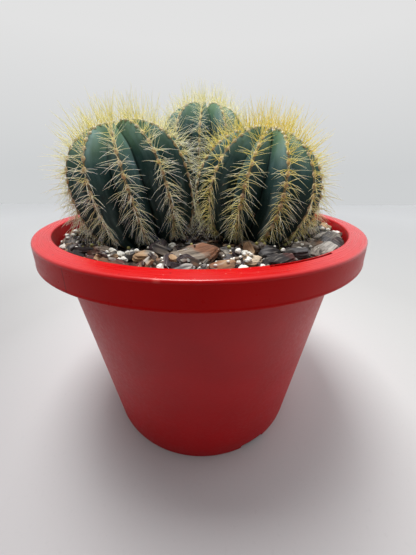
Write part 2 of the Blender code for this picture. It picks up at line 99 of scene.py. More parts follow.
lens = bpy.data.cameras.new("camera")
lens.lens = CAMERA_LENS
lens.sensor_width = CAMERA_SENSOR
lens.sensor_fit = "AUTO"
lens.clip_start = CAMERA_NEAR
camera = bpy.data.objects.new("camera", lens)
turn = Matrix.Rotation(math.radians(CAMERA_PITCH), 4, "X") @ Matrix.Rotation(CAMERA_ROLL, 4, "Z")
camera.matrix_world = Matrix.Translation(CAMERA_PLACE) @ turn
bpy.context.scene.collection.objects.link(camera)
bpy.context.scene.camera = camera
bpy.context.scene.view_settings.view_transform = "Standard"
print("camera", [round(value, 4) for value in CAMERA_PLACE])

# %% [markdown]
# ## A kit for materials
#
# A finish is a Principled shader with a few textures in front of it. Real surfaces differ at two
# or three scales at once, so each finish here adds noises of different sizes to its colour, its
# roughness and its relief. The small class below keeps those chains short to write. A value that
# is the same all over is set on the shader itself.

# %% Chain and Finish, two small node builders


class Chain:
    """A node tree that is written one step at a time."""

    def __init__(self, tree):
        self.tree = tree

    def feed(self, socket, source):
        """Links a socket to a source, or sets it where the source is a plain value."""
        if isinstance(source, bpy.types.NodeSocket):
            self.tree.links.new(source, socket)
        else:
            socket.default_value = source

    def node(self, kind, *inputs, **settings):
        node = self.tree.nodes.new(f"ShaderNode{kind}")
        for name, value in settings.items():
            setattr(node, name, value)
        for socket, source in inputs:
            self.feed(node.inputs[socket], source)
        return node

    def attribute(self, name, output="Fac"):
        return self.node("Attribute", attribute_name=name).outputs[output]

    def noise(self, size, detail=3.0, stretch=(1, 1, 1), place=None):
        """Cloudy noise from 0 to 1 with features about size metres across."""
        scale = [share / size for share in stretch]
        spot = self.node("Mapping", ("Vector", place or self.place), ("Scale", scale))
        cloud = self.node("TexNoise", ("Vector", spot.outputs[0]), ("Scale", 1.0), ("Detail", detail))
        return cloud.outputs[0]

    def cells(self, size, place=None):
        """The distance from the middle of random cells that are about size metres across."""
        spot = self.node("Mapping", ("Vector", place or self.place), ("Scale", [1 / size] * 3))
        return self.node("TexVoronoi", ("Vector", spot.outputs[0]), ("Scale", 1.0)).outputs["Distance"]

    def grade(self, value, low, high, to_low=0.0, to_high=1.0):
        """Stretches the values between low and high to a new range, and holds them there."""
        pairs = ((0, value), (1, low), (2, high), (3, to_low), (4, to_high))
        return self.node("MapRange", *pairs, clamp=True).outputs[0]

    def math(self, operation, first, second=0.0):
        return self.node("Math", (0, first), (1, second), operation=operation).outputs[0]

    def mix(self, share, first, second, blend="MIX"):
        """One colour over another, by a share from 0 to 1."""
        pairs = ((0, share), (6, first), (7, second))
        return self.node("Mix", *pairs, data_type="RGBA", blend_type=blend).outputs[2]

    def ramp(self, value, *stops):
        """Turns a value into colours: each stop is a position and a colour."""
        node = self.node("ValToRGB", (0, value))
        elements = node.color_ramp.elements
        elements.remove(elements[1])
        elements[0].position, elements[0].color = stops[0]
        for position, color in stops[1:]:
            elements.new(position).color = color
        return node.outputs[0]


class Finish(Chain):
    """A Principled material that is built up one texture at a time."""

    def __init__(self, name, roughness, **sockets):
        self.material = bpy.data.materials.new(name)
        self.material.use_nodes = True
        super().__init__(self.material.node_tree)
        self.shader = self.tree.nodes["Principled BSDF"]
        self.shader.inputs["Roughness"].default_value = roughness
        for socket, value in sockets.items():
            self.shader.inputs[socket.replace("_", " ")].default_value = value
        self.place = self.node("TexCoord").outputs["Object"]
        self.relief = None

    def color(self, source):
        self.feed(self.shader.inputs["Base Color"], source)

    def roughness(self, source):
        self.feed(self.shader.inputs["Roughness"], source)

    def bump(self, height, depth):
        """Relief: a height from 0 to 1 stands for a depth in metres."""
        node = self.node("Bump", ("Height", height), ("Distance", depth))
        if self.relief is not None:
            self.feed(node.inputs["Normal"], self.relief)
        self.relief = node.outputs[0]
        self.feed(self.shader.inputs["Normal"], self.relief)


# %% [markdown]
# ## The light
#
# The plant stands in soft light that comes from above and behind, from two broad patches of sky to
# its left and right, so its front is in its own shade and two faint shadows fall forwards. Broad
# patches are easier to paint into the world than to build from lamps, and they leave no noise: the
# world is brighter the better a direction agrees with one of the patches. The camera itself sees a
# plain pale backdrop instead, which is a shade darker towards the horizon, where the floor ends. One
# lamp overhead adds a little sparkle.

# %% Paint the sky and hang a lamp
BACKDROP = tint(226, 226, 226)
HORIZON = tint(206, 208, 209)
HORIZON_REACH = 0.35  # how far up the backdrop is graded, as the height of a unit direction
DAYLIGHT = (0.96, 0.98, 1.0, 1.0)
AMBIENT = 0.13
PATCH_TIGHTNESS = 3.0
PATCHES = (((-0.62, 0.50, 0.60), 0.82), ((0.76, 0.42, 0.50), 1.32))  # directions and strengths
LAMP_PLACE = (-0.08, 0.04, 0.72)
LAMP_SIZE = 0.26
LAMP_POWER = 4.3  # watts

world = bpy.data.worlds.new("soft room")
world.use_nodes = True
sky = Chain(world.node_tree)
looking = sky.node("TexCoord").outputs["Generated"]
brightness = AMBIENT
for patch, strength in PATCHES:
    toward = Vector(patch).normalized()
    agree = sky.node("VectorMath", (0, looking), (1, toward), operation="DOT_PRODUCT").outputs["Value"]
    glow = sky.math("POWER", sky.math("MAXIMUM", agree, 0.0), PATCH_TIGHTNESS)
    brightness = sky.math("ADD", brightness, sky.math("MULTIPLY", glow, strength))
light = sky.tree.nodes["Background"]
light.inputs["Color"].default_value = DAYLIGHT
sky.feed(light.inputs["Strength"], brightness)
rise = sky.node("SeparateXYZ", (0, looking)).outputs[2]
backdrop = sky.mix(sky.grade(rise, 0.0, HORIZON_REACH), HORIZON, BACKDROP)
plain = sky.node("Background", ("Color", backdrop), ("Strength", 1.0))
by_camera = sky.node("LightPath").outputs["Is Camera Ray"]
choice = sky.node("MixShader", (0, by_camera), (1, light.outputs[0]), (2, plain.outputs[0]))
sky.feed(sky.tree.nodes["World Output"].inputs["Surface"], choice.outputs[0])
bpy.context.scene.world = world

lamp_data = bpy.data.lights.new("overhead_lamp", "AREA")
lamp_data.size = LAMP_SIZE
lamp_data.energy = LAMP_POWER
lamp = bpy.data.objects.new("overhead_lamp", lamp_data)
lamp.matrix_world = Matrix.Translation(LAMP_PLACE)
bpy.context.scene.collection.objects.link(lamp)
print("sky patches:", len(PATCHES))

# %% [markdown]
# ## A kit for pieces
#
# A piece is a mesh at its real place, with its finish, that moves with the pot. Some meshes are
# easier to get from Blender's modifiers, such as a Boolean cut or a voxel remesh. A modifier is run
# once here and its result kept, so that a piece's points can still be moved afterwards.

# %% Pieces and modifiers


def make_piece(name, shape, finishes, stands_for=(), sharp=None):
    """Turns a bmesh or a mesh into a finished piece of the object."""
    if isinstance(shape, bmesh.types.BMesh):
        mesh = bpy.data.meshes.new(name)
        shape.to_mesh(mesh)
        shape.free()
    else:
        mesh = shape
        mesh.name = name
    mesh.shade_smooth()
    if sharp is not None:
        mesh.set_sharp_from_angle(angle=math.radians(sharp))
    for finish in finishes:
        mesh.materials.append(finish.material)
    piece = bpy.data.objects.new(name, mesh)
    bpy.context.scene.collection.objects.link(piece)
    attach(piece, "root")
    if stands_for:
        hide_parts(*stands_for)
    return piece


def after_modifiers(shape, *modifiers):
    """The mesh that a bmesh gives after some modifiers, each a type and its settings."""
    mesh = bpy.data.meshes.new("work")
    shape.to_mesh(mesh)
    shape.free()
    work = bpy.data.objects.new("work", mesh)
    bpy.context.scene.collection.objects.link(work)
    for kind, settings in modifiers:
        modifier = work.modifiers.new(kind, kind)
        for name, value in settings.items():
            setattr(modifier, name, value)
    graph = bpy.context.evaluated_depsgraph_get()
    result = bpy.data.meshes.new_from_object(work.evaluated_get(graph))
    bpy.data.objects.remove(work)
    return result


def count_faces(*pieces):
    return sum(len(piece.data.polygons) for piece in pieces)


# %% [markdown]
# ## The pot's shape
#
# The pot is one injection moulding, so one turned outline gives nearly all of it: a flat ledge with
# a hanging skirt that ends in a fine bead, a shoulder, a tapered wall, a raised floor and a foot
# ring. A moulding has no sharp corners, so each corner of the outline has its own rounding.
# Spinning the outline is the way a lathe or a mould maker would think of it. The drain holes, the
# notches in the foot and the slit at the ledge are then cut out with Booleans, as they don't go
# round.

# %% Spin the pot's outline
RIM_RADIUS = 100.0 * MM
POT_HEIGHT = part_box("pot")[1].z
BASE_RADIUS = 76.1 * MM
INNER_RADIUS = RIM_RADIUS - 8.9 * MM
LEDGE_FALL = 0.5 * MM  # how much lower the ledge's outer edge is
WALL = 1.8 * MM
SKIRT_BOTTOM = POT_HEIGHT - 12.5 * MM
SKIRT_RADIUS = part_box("pot")[1].x
SKIRT_BEAD = 0.2 * MM  # the bead at the skirt's bottom stands this proud of the skirt
SHOULDER_LOW = SKIRT_BOTTOM + 0.4 * MM
SHOULDER_HIGH = SHOULDER_LOW + 2.2 * MM
BODY_TOP_RADIUS = INNER_RADIUS - 3.4 * MM + WALL
FLOOR_LOW = 4.5 * MM
FLOOR_TOP = 6.5 * MM
FLOOR_CORNER = 4.0 * MM  # the rounding between the floor and the wall, inside
FOOT_WIDTH = 2.4 * MM
POT_STEPS = 240
CORNER_STEPS = 5


def wall_radius(height):
    """The outer radius of the tapered wall."""
    return BASE_RADIUS + (BODY_TOP_RADIUS - BASE_RADIUS) * height / SHOULDER_LOW


def rounded(outline):
    """Replaces each corner of a (radius, height, rounding) outline with a short curve."""
    points = []
    for index, (radius, height, rounding) in enumerate(outline):
        here = Vector((radius, height))
        if rounding == 0.0:
            points.append(here)
            continue
        before = Vector(outline[index - 1][:2]) - here
        after = Vector(outline[index + 1][:2]) - here
        reach = rounding / math.tan(before.angle(after) / 2)
        start = here + min(reach, 0.48 * before.length) * before.normalized()
        end = here + min(reach, 0.48 * after.length) * after.normalized()
        for step in range(CORNER_STEPS + 1):
            share = step / CORNER_STEPS
            points.append(start.lerp(here, share).lerp(here.lerp(end, share), share))
    return points


def spun(outline, steps):
    """A closed outline from axis to axis, spun a full turn."""
    bm = bmesh.new()
    verts = [bm.verts.new((radius, 0.0, height)) for radius, height in outline]
    edges = [bm.edges.new(pair) for pair in zip(verts, verts[1:])]
    center = {"cent": (0, 0, 0), "axis": (0, 0, 1), "angle": 2 * math.pi}
    bmesh.ops.spin(bm, geom=verts + edges, steps=steps, use_merge=True, **center)
    bmesh.ops.remove_doubles(bm, verts=bm.verts, dist=0.002 * MM)
    bmesh.ops.recalc_face_normals(bm, faces=bm.faces)
    return bm


def along_wall(low, high, inset, steps=12):
    """Rings between two heights of the wall, so that its smooth shading has something to hold."""
    heights = [low + (high - low) * step / steps for step in range(1, steps)]
    return [(wall_radius(height) - inset, height, 0.0) for height in heights]


pot_outline = [
    (0.0, FLOOR_LOW, 0.0),
    (wall_radius(0) - FOOT_WIDTH - 1.0 * MM, FLOOR_LOW, 0.8 * MM),
    (wall_radius(0) - FOOT_WIDTH, 0.0, 0.5 * MM),
    (BASE_RADIUS, 0.0, 0.9 * MM),
    *along_wall(1.5 * MM, SHOULDER_LOW, 0.0),
    (BODY_TOP_RADIUS, SHOULDER_LOW, 0.5 * MM),
    (INNER_RADIUS + WALL, SHOULDER_HIGH, 0.5 * MM),
    (INNER_RADIUS + WALL, POT_HEIGHT - 2.0 * MM, 0.6 * MM),
    (RIM_RADIUS - WALL, POT_HEIGHT - LEDGE_FALL - 2.0 * MM, 0.5 * MM),
    (SKIRT_RADIUS - WALL, SKIRT_BOTTOM, 0.45 * MM),
    (SKIRT_RADIUS, SKIRT_BOTTOM, 0.6 * MM),
    (SKIRT_RADIUS, SKIRT_BOTTOM + 0.9 * MM, 0.3 * MM),
    (SKIRT_RADIUS - SKIRT_BEAD, SKIRT_BOTTOM + 1.5 * MM, 0.4 * MM),
    (RIM_RADIUS, POT_HEIGHT - LEDGE_FALL, 1.4 * MM),
    (INNER_RADIUS, POT_HEIGHT, 0.9 * MM),
    (INNER_RADIUS, SHOULDER_HIGH, 0.5 * MM),
    (BODY_TOP_RADIUS - WALL, SHOULDER_LOW, 0.5 * MM),
    *reversed(along_wall(FLOOR_TOP + FLOOR_CORNER, SHOULDER_LOW, WALL)),
    (wall_radius(FLOOR_TOP) - WALL, FLOOR_TOP, FLOOR_CORNER),
    (0.0, FLOOR_TOP, 0.0),
]
pot_form = spun(rounded(pot_outline), POT_STEPS)
print("the pot's moulding:", len(pot_form.faces), "faces")

# %% [markdown]
# A cutter is a closed shape that a Boolean takes away. The three kinds of cutter don't touch, so
# each can be one object: three blocks across the foot ring, six rods through the floor, and a
# short bent bar just behind the ledge's inner edge.

# %% Cut the notches, the drain holes and the slit
NOTCH_COUNT = 3
NOTCH_BEARING = 28.5  # degrees from the front towards +X
NOTCH_SIZE = Vector((10.0, 18.5, 6.4)) * MM
NOTCH_ROUNDING = 1.2 * MM
DRAIN_COUNT = 6
DRAIN_RADIUS = 4.5 * MM
DRAIN_RING = 52.0 * MM
SLIT_BEARING = 27.1
SLIT_SIZE = Vector((1.1, 32.9, 2.4)) * MM  # across, along and down
SLIT_STEPS = 14
SLIT_LIP = 0.9 * MM  # left standing between the slit and the ledge's inner edge


def facing(bearing, radius, height):
    """A place at a bearing from the front, turned so that its own +X points outwards."""
    turned = Matrix.Rotation(math.radians(bearing - 90.0), 4, "Z")
    return turned @ Matrix.Translation((radius, 0.0, height))


def cutter(name, bm):
    mesh = bpy.data.meshes.new(name)
    bm.to_mesh(mesh)
    bm.free()
    obj = bpy.data.objects.new(name, mesh)
    bpy.context.scene.collection.objects.link(obj)
    return obj


notches = bmesh.new()
drains = bmesh.new()
for index in range(NOTCH_COUNT):
    place = facing(NOTCH_BEARING + index * 360.0 / NOTCH_COUNT, BASE_RADIUS - FOOT_WIDTH / 2, 0.0)
    bmesh.ops.create_cube(notches, size=1.0, matrix=place @ Matrix.Diagonal((*NOTCH_SIZE, 1.0)))
round_off = {"affect": "EDGES", "segments": 4, "profile": 0.5, "material": -1}
bmesh.ops.bevel(notches, geom=notches.edges[:], offset=NOTCH_ROUNDING, **round_off)
for index in range(DRAIN_COUNT):
    place = facing(index * 360.0 / DRAIN_COUNT, DRAIN_RING, FLOOR_LOW)
    sizes = {"radius1": DRAIN_RADIUS, "radius2": DRAIN_RADIUS, "depth": 4 * FLOOR_TOP}
    bmesh.ops.create_cone(drains, cap_ends=True, segments=40, matrix=place, **sizes)
slit = bmesh.new()
inner = INNER_RADIUS + SLIT_LIP
outer = inner + SLIT_SIZE.x
sweep = SLIT_SIZE.y / INNER_RADIUS
start = facing(SLIT_BEARING - math.degrees(sweep) / 2, 0.0, POT_HEIGHT)
corners = ((inner, -1), (outer, -1), (outer, 1), (inner, 1))
section = [slit.verts.new(start @ Vector((radius, 0.0, sign * SLIT_SIZE.z))) for radius, sign in corners]
face = slit.faces.new(section)
axis = {"cent": (0, 0, 0), "axis": (0, 0, 1), "angle": sweep}
bmesh.ops.spin(slit, geom=[face], steps=SLIT_STEPS, use_merge=False, **axis)
bmesh.ops.recalc_face_normals(slit, faces=slit.faces)
cutters = [cutter("notches", notches), cutter("drains", drains), cutter("slit", slit)]
cuts = [("BOOLEAN", {"operation": "DIFFERENCE", "solver": "EXACT", "object": one}) for one in cutters]
pot_mesh = after_modifiers(pot_form, *cuts)
for one in cutters:
    bpy.data.objects.remove(one)
print("after the cuts:", len(pot_mesh.polygons), "faces")

# %% [markdown]
# ## The pot's finish
#
# Polypropylene straight from the mould is satin, with a faint orange-peel relief. The tapered wall
# is the dullest part, and its reflection is painted weaker towards its foot: painted shade for the
# darker floor that it mirrors there. The skirt is a little glossier and has the faint lines where
# the mould's halves met. The ledge, which hands and dust reach, has fine lines round it, pale
# scuffs, specks and grains of dirt. Its rounded outer edge is the glossiest, with a painted
# highlight, a pale spot, at the small mark where the plastic ran in. Lines that go round can't come
# from a stretched noise on plain coordinates, so the noise is read at each point's distance from
# the pot's axis.

# %% Mix the red plastics
RED = tint(192, 0, 12)
RED_DEEP = tint(182, 0, 10)
RED_PALE = tint(206, 60, 60)
SEAM_BEARINGS = (-30.0, 90.0)
GATE_BEARING = -7.0
GATE_DEPTH = 0.8 * MM  # below the ledge's top


def red_plastic(name, roughness, peel, deeper, lighter, **sockets):
    """Satin red plastic: its finish, its cloudy tone and its fine mottle, with a peel relief."""
    finish = Finish(name, roughness, **sockets)
    tone = finish.ramp(finish.noise(22 * MM, detail=5.0), (0.30, deeper), (0.70, lighter))
    mottle = finish.noise(2.2 * MM, detail=4.0)
    finish.bump(finish.noise(0.9 * MM, detail=2.0), peel)
    return finish, tone, mottle


def from_axis(finish):
    """Coordinates that change fast across the rings of the pot and slowly along them."""
    split = finish.node("SeparateXYZ", (0, finish.place))
    flat = finish.node("CombineXYZ", (0, split.outputs[0]), (1, split.outputs[1]))
    radius = finish.node("VectorMath", (0, flat.outputs[0]), operation="LENGTH").outputs["Value"]
    slow = [finish.math("MULTIPLY", split.outputs[axis], 0.02) for axis in (0, 1)]
    return finish.node("CombineXYZ", (0, radius), (1, slow[0]), (2, slow[1])).outputs[0]


wall_tones = (RED_DEEP, RED)
wall_red, tone, mottle = red_plastic("red_wall", 0.42, 0.07 * MM, *wall_tones, Specular_IOR_Level=0.24)
wall_red.color(wall_red.mix(wall_red.grade(mottle, 0.56, 0.78, 0.0, 0.16), tone, RED_PALE))
wall_red.roughness(wall_red.grade(mottle, 0.3, 0.7, 0.36, 0.48))
# Painted shade in the reflection: the wall's specular level falls towards its foot, standing for the darker
# floor that it mirrors there.
tall = wall_red.node("SeparateXYZ", (0, wall_red.place)).outputs[2]
wall_reflection_painted_by_height = wall_red.grade(tall, 0.15 * POT_HEIGHT, 0.75 * POT_HEIGHT, 0.08, 0.34)
wall_red.feed(wall_red.shader.inputs["Specular IOR Level"], wall_reflection_painted_by_height)

skirt_tones = (tint(188, 0, 0), tint(198, 0, 2))
skirt_red, tone, mottle = red_plastic("red_skirt", 0.33, 0.02 * MM, *skirt_tones, Specular_IOR_Level=0.14)
for bearing in SEAM_BEARINGS:
    angle = math.radians(bearing)
    beside = (math.cos(angle), math.sin(angle), 0.0)
    away = skirt_red.node("VectorMath", (0, skirt_red.place), (1, beside), operation="DOT_PRODUCT")
    away = skirt_red.math("ABSOLUTE", away.outputs["Value"])
    tone = skirt_red.mix(skirt_red.grade(away, 0.1 * MM, 0.5 * MM, 0.55, 0.0), tone, tint(96, 0, 0))
skirt_red.color(tone)
skirt_red.roughness(skirt_red.grade(mottle, 0.3, 0.7, 0.27, 0.38))

ledge_tones = (tint(194, 2, 8), tint(204, 6, 12))
ledge_red, tone, _ = red_plastic("red_ledge", 0.36, 0.02 * MM, *ledge_tones, Specular_IOR_Level=0.30)
rings = ledge_red.noise(0.35 * MM, detail=3.0, place=from_axis(ledge_red))
tone = ledge_red.mix(ledge_red.grade(rings, 0.52, 0.75, 0.0, 0.35), tone, RED_PALE)
specks = ledge_red.grade(ledge_red.cells(2.6 * MM), 0.05, 0.12, 0.55, 0.0)
tone = ledge_red.mix(specks, tone, tint(232, 150, 140))
dirt = ledge_red.grade(ledge_red.cells(5.3 * MM), 0.05, 0.09, 0.6, 0.0)
ledge_red.color(ledge_red.mix(dirt, tone, tint(92, 18, 16)))
ledge_red.roughness(ledge_red.grade(rings, 0.3, 0.7, 0.20, 0.42))
ledge_red.bump(rings, 0.03 * MM)

edge_tones = (tint(192, 0, 6), tint(204, 8, 14))
edge_red, tone, _ = red_plastic("red_edge", 0.26, 0.01 * MM, *edge_tones, Specular_IOR_Level=0.42)
# Painted highlight: a pale spot round the gate mark stands in for the glint that the mark's small dent
# catches.
gate_glint_spot = facing(GATE_BEARING, RIM_RADIUS, POT_HEIGHT - GATE_DEPTH).to_translation()
away = edge_red.node("VectorMath", (0, edge_red.place), (1, gate_glint_spot), operation="DISTANCE").outputs["Value"]
edge_red.color(edge_red.mix(edge_red.grade(away, 0.6 * MM, 1.8 * MM, 0.35, 0.0), tone, tint(236, 110, 100)))
reds = [wall_red, skirt_red, ledge_red, edge_red]
print("reds:", [red.material.name for red in reds])

# %% [markdown]
# One mesh can carry several materials, and each face says which it has. Here a face's own middle
# decides: the rounded outer edge, the flat ledge, the outside of the skirt, or the wall. That is
# easier to keep right than a list of faces, which would change with every cut.

# %% Finish the pot
EDGE_BAND = 0.9 * MM  # how far in from the rim the rounded edge reaches
EDGE_DEPTH = 1.9 * MM  # and how far down
LEDGE_DEPTH = 1.2 * MM


def red_at(spot):
    """Which of the reds the pot has at a spot."""
    if spot.xy.length > RIM_RADIUS - EDGE_BAND and spot.z > POT_HEIGHT - EDGE_DEPTH:
        return edge_red
    if spot.z > POT_HEIGHT - LEDGE_DEPTH:
        return ledge_red
    if spot.xy.length > INNER_RADIUS + WALL and spot.z > SKIRT_BOTTOM - 0.5 * MM:
        return skirt_red
    return wall_red


pot = make_piece("red_pot", pot_mesh, reds, ["pot"], 28.0)
for face in pot.data.polygons:
    face.material_index = reds.index(red_at(face.center))
print("pot:", count_faces(pot), "faces")

# %% [markdown]
# ## The heads' shape
#
# A round cactus is a swollen body of revolution, folded into straight ribs like a concertina, which
# lets it fill with water without tearing. So a head is modelled as a sphere whose every point is
# moved: outwards on a crest, inwards in a valley, and up or down by a superellipse, which is a
# circle with fuller shoulders. The sphere's own grid then runs along the ribs, so the crests and
# the valleys are always edges of the mesh and stay crisp.
#
# Three more things make it look grown and not turned. The valleys run lower than the crests round
# the crown, so the ribs stand up there like lobes. The crest swells a little between one spine
# cushion and the next. And a slow noise pushes the flanks in and out by a fraction of a millimetre.

# %% Describe the three heads
RIB_COUNT = 12
RIB_DEPTH = 0.27  # of the crest radius
FLANK_BULGE = 1.3  # above 1, the ribs' sides swell outwards
SEAT_LATITUDE = math.radians(-64.0)  # a head is cut flat here, where it sits in the mix
SOIL_LEVEL = POT_HEIGHT - 8.0 * MM
SOIL_RADIUS = INNER_RADIUS - 0.6 * MM
SOIL_SLOPE = (0.020, -0.015)  # the mix isn't quite level


def soil_height(x, y):
    """The height of the smoothed top of the potting mix."""
    return SOIL_LEVEL + SOIL_SLOPE[0] * x + SOIL_SLOPE[1] * y


class Head:
    """One cactus head: its axis, its crest radius, its profile and how golden its spines are."""

    def __init__(self, name, center, lean, phase, radius, above, below, fullness, gold):
        self.name = name
        self.center = center
        self.axis = Vector((*lean, 1.0)).normalized()
        self.side = Vector((0, 1, 0)).cross(self.axis).normalized()
        self.depth = self.axis.cross(self.side)
        self.phase = phase
        self.radius = radius
        self.above = above
        self.below = below
        self.fullness = fullness
        self.gold = gold

    def crest(self, share):
        """The crest radius: share is 0 at the widest ring, 1 at the crown and -1 at the root."""
        return self.radius * (1.0 - min(1.0, abs(share)) ** self.fullness) ** (1.0 / self.fullness)

    def point(self, angle, latitude, share=1.0):
        """A point on the head, where share is 1 on a crest and less in a valley."""
        rise = math.sin(latitude)
        across = math.cos(angle) * self.side + math.sin(angle) * self.depth
        along = rise * (self.above if rise > 0 else self.below)
        return self.center + along * self.axis + self.crest(rise) * share * across

    def clearance(self, point):
        """About how far a point is outside the crests."""
        offset = point - self.center
        along = offset.dot(self.axis)
        across = (offset - along * self.axis).length
        half_height = self.above if along > 0 else self.below
        level = abs(along / half_height) ** self.fullness + (across / self.radius) ** self.fullness
        return (level ** (1.0 / self.fullness) - 1.0) * self.radius

    def height_share(self, point):
        """0 at the widest ring, 1 at the crown."""
        return (point - self.center).dot(self.axis) / self.above


HEAD_GAP = 0.3 * MM
REAR_GAP = 1.5 * MM
FRONT_Y = -19.5 * MM
MEETING_X = -2.65 * MM
left_radius, right_radius, rear_radius = 35.3 * MM, 35.7 * MM, 35.5 * MM
spread = (left_radius + right_radius + HEAD_GAP) / 2
left_center = Vector((MEETING_X - spread, FRONT_Y, SOIL_LEVEL + 27.6 * MM))
right_center = Vector((MEETING_X + spread, FRONT_Y, SOIL_LEVEL + 27.1 * MM))
rear_center = Vector((1.0 * MM, 0.0, SOIL_LEVEL + 46.5 * MM))
for front_center, front_radius in ((left_center, left_radius), (right_center, right_radius)):
    apart = front_radius + rear_radius + REAR_GAP
    side_and_up = (rear_center.x - front_center.x) ** 2 + (rear_center.z - front_center.z) ** 2
    rear_center.y = max(rear_center.y, front_center.y + math.sqrt(apart**2 - side_and_up))
heads = [
    Head("left", left_center, (-0.20, -0.06), -1.90, left_radius, 34.9 * MM, 34.9 * MM, 2.4, 0.40),
    Head("right", right_center, (0.18, -0.04), -1.94, right_radius, 33.2 * MM, 33.2 * MM, 2.0, 0.75),
    Head("rear", rear_center, (0.04, 0.12), -1.66, rear_radius, 37.0 * MM, 56.0 * MM, 2.4, 0.30),
]
for head in heads:
    middle = (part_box(f"stem_{head.name}")[0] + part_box(f"stem_{head.name}")[1]) / 2
    print(head.name, "is off its solid's middle by, mm:",
          [round((head.center - middle)[axis] * 1000, 1) for axis in (0, 1)])

# %% [markdown]
# The cushions stand in a row on each crest, at nearly even steps, closer together at the crown,
# where the plant grows. Equal steps of an angle would bunch them up on the flat crown, so each crest
# is walked from the crown down in many short steps, and a cushion is set whenever the distance
# walked calls for one. The skin and the spines both need these places, so they come first.

# %% Place the spine cushions along the crests
CUSHION_FIRST = 4.0 * MM  # from the crown's middle to the first cushion
CUSHION_CLOSE = 4.6 * MM  # between two young cushions at the crown
CUSHION_APART = 5.0 * MM  # between two old ones
CUSHION_GROWTH = 0.02  # how fast the distance grows on the way down
CROWN_LATITUDE = math.radians(87.0)  # the walk down a crest starts here
WALK_STEPS = 400
NUDGE = 0.02  # radians, to either side of a cushion, for the directions there


class Cushion:
    """A spine cushion: its place on a crest and the directions there."""

    def __init__(self, head, angle, latitude):
        self.angle = angle
        self.point = head.point(angle, latitude)
        above, below = head.point(angle, latitude + NUDGE), head.point(angle, latitude - NUDGE)
        after, before = head.point(angle + NUDGE, latitude), head.point(angle - NUDGE, latitude)
        self.up = (above - below).normalized()
        self.across = (after - before).normalized()
        self.outward = self.across.cross(self.up)
        if self.outward.dot(self.point - head.center) < 0:
            self.outward.negate()
        self.height = head.height_share(self.point)


def cushions_of(head, rng):
    """Walks down each crest and stops at every spine cushion."""
    found = []
    for rib in range(RIB_COUNT):
        angle = head.phase + rib * 2 * math.pi / RIB_COUNT
        previous = head.point(angle, CROWN_LATITUDE)
        walked = 0.0
        stop = CUSHION_FIRST * rng.uniform(0.6, 1.8)
        for step in range(WALK_STEPS):
            latitude = CROWN_LATITUDE + (SEAT_LATITUDE - CROWN_LATITUDE) * step / WALK_STEPS
            point = head.point(angle, latitude)
            walked += (point - previous).length
            previous = point
            if walked < stop:
                continue
            if point.z > soil_height(point.x, point.y) + 1.5 * MM:
                found.append(Cushion(head, angle, latitude))
                rng.random()  # spare: one draw for each cushion keeps the later draws in step
            gap = min(CUSHION_CLOSE + CUSHION_GROWTH * walked, CUSHION_APART)
            stop = walked + gap * rng.uniform(0.92, 1.08)
    return found


HEAD_SEED = 7

chance = random.Random(HEAD_SEED)
cushions = {head.name: cushions_of(head, chance) for head in heads}
print("spine cushions:", {name: len(found) for name, found in cushions.items()})

# %% [markdown]
# Each skin is one sphere from a bmesh operator, whose points are moved onto the ribs. It could be
# sculpted, but then its crests would wander, and the cushions would no longer sit on them. Each
# point keeps how far down its fold it is and how high on the head, for the finish to read.

# %% Fold the skins
SKIN_SEGMENTS = 16 * RIB_COUNT
SKIN_RINGS = 110
CROWN_DIP = 1.5 * MM
CROWN_REACH = 7.0 * MM
CROWN_FOLD = 7.0 * MM  # how much lower the valleys run than the crests round the crown
CREST_NOTCH = 0.35 * MM  # a cushion sits this deep in the crest
NOTCH_REACH = 1.4 * MM
FLANK_WAVE = 0.35 * MM


def rib_fold(angle):
    """0 on a crest and 1 in a valley."""
    return abs((angle * RIB_COUNT / math.pi + 1.0) % 2.0 - 1.0)


def head_skin(head):
    """A sphere moved point by point onto the ribs, with the fold and the height kept on each point."""
    bm = bmesh.new()
    bmesh.ops.create_uvsphere(bm, u_segments=SKIN_SEGMENTS, v_segments=SKIN_RINGS, radius=1.0)
    fold_layer = bm.verts.layers.float.new("fold")
    height_layer = bm.verts.layers.float.new("height")
    place_layer = bm.verts.layers.float_vector.new("skin_place")
    stops = {}
    for cushion in cushions[head.name]:
        rib = round((cushion.angle - head.phase) * RIB_COUNT / (2 * math.pi)) % RIB_COUNT
        stops.setdefault(rib, []).append(cushion.point)
    for vert in bm.verts:
        polar = math.asin(held(vert.co.z, -1.0, 1.0)) / math.pi + 0.5
        ring = round(polar * SKIN_RINGS)
        share = (max(ring, 1) - 1) / (SKIN_RINGS - 1)
        latitude = SEAT_LATITUDE + share * (math.pi / 2 - SEAT_LATITUDE)
        turned = math.atan2(vert.co.y, vert.co.x)
        fold = rib_fold(turned)
        point = head.point(head.phase + turned, latitude, 1.0 - RIB_DEPTH * fold**FLANK_BULGE)
        if ring == 0:
            point = head.point(0.0, latitude, 0.0)
        outward = (point - head.center).normalized()
        if 0 < ring < SKIN_RINGS:
            wave = noise.noise(point * 90.0) + 0.5 * noise.noise(point * 260.0)
            point += FLANK_WAVE * wave * min(1.0, 2.0 * fold) * outward
            if fold < 0.3:
                rib = round(turned * RIB_COUNT / (2 * math.pi)) % RIB_COUNT
                near = min(((point - stop).length for stop in stops.get(rib, ())), default=1.0)
                point -= CREST_NOTCH * math.exp(-((near / NOTCH_REACH) ** 2)) * outward
        offset = point - head.center
        off_axis = (offset - offset.dot(head.axis) * head.axis).length
        if latitude > 0:
            opened = math.sin(latitude) ** 2 * min(1.0, off_axis / CROWN_REACH)
            point -= CROWN_FOLD * fold**FLANK_BULGE * opened * head.axis
        if latitude > 0.5:
            point -= CROWN_DIP * math.exp(-((off_axis / CROWN_REACH) ** 2)) * head.axis
        vert[fold_layer] = fold
        vert[height_layer] = head.height_share(point)
        vert[place_layer] = Vector((turned * head.radius, latitude * head.radius, fold * 10 * MM))
        vert.co = point
    bmesh.ops.recalc_face_normals(bm, faces=bm.faces)
    return bm


skin_forms = {head.name: head_skin(head) for head in heads}
print("skin faces:", {name: len(form.faces) for name, form in skin_forms.items()})
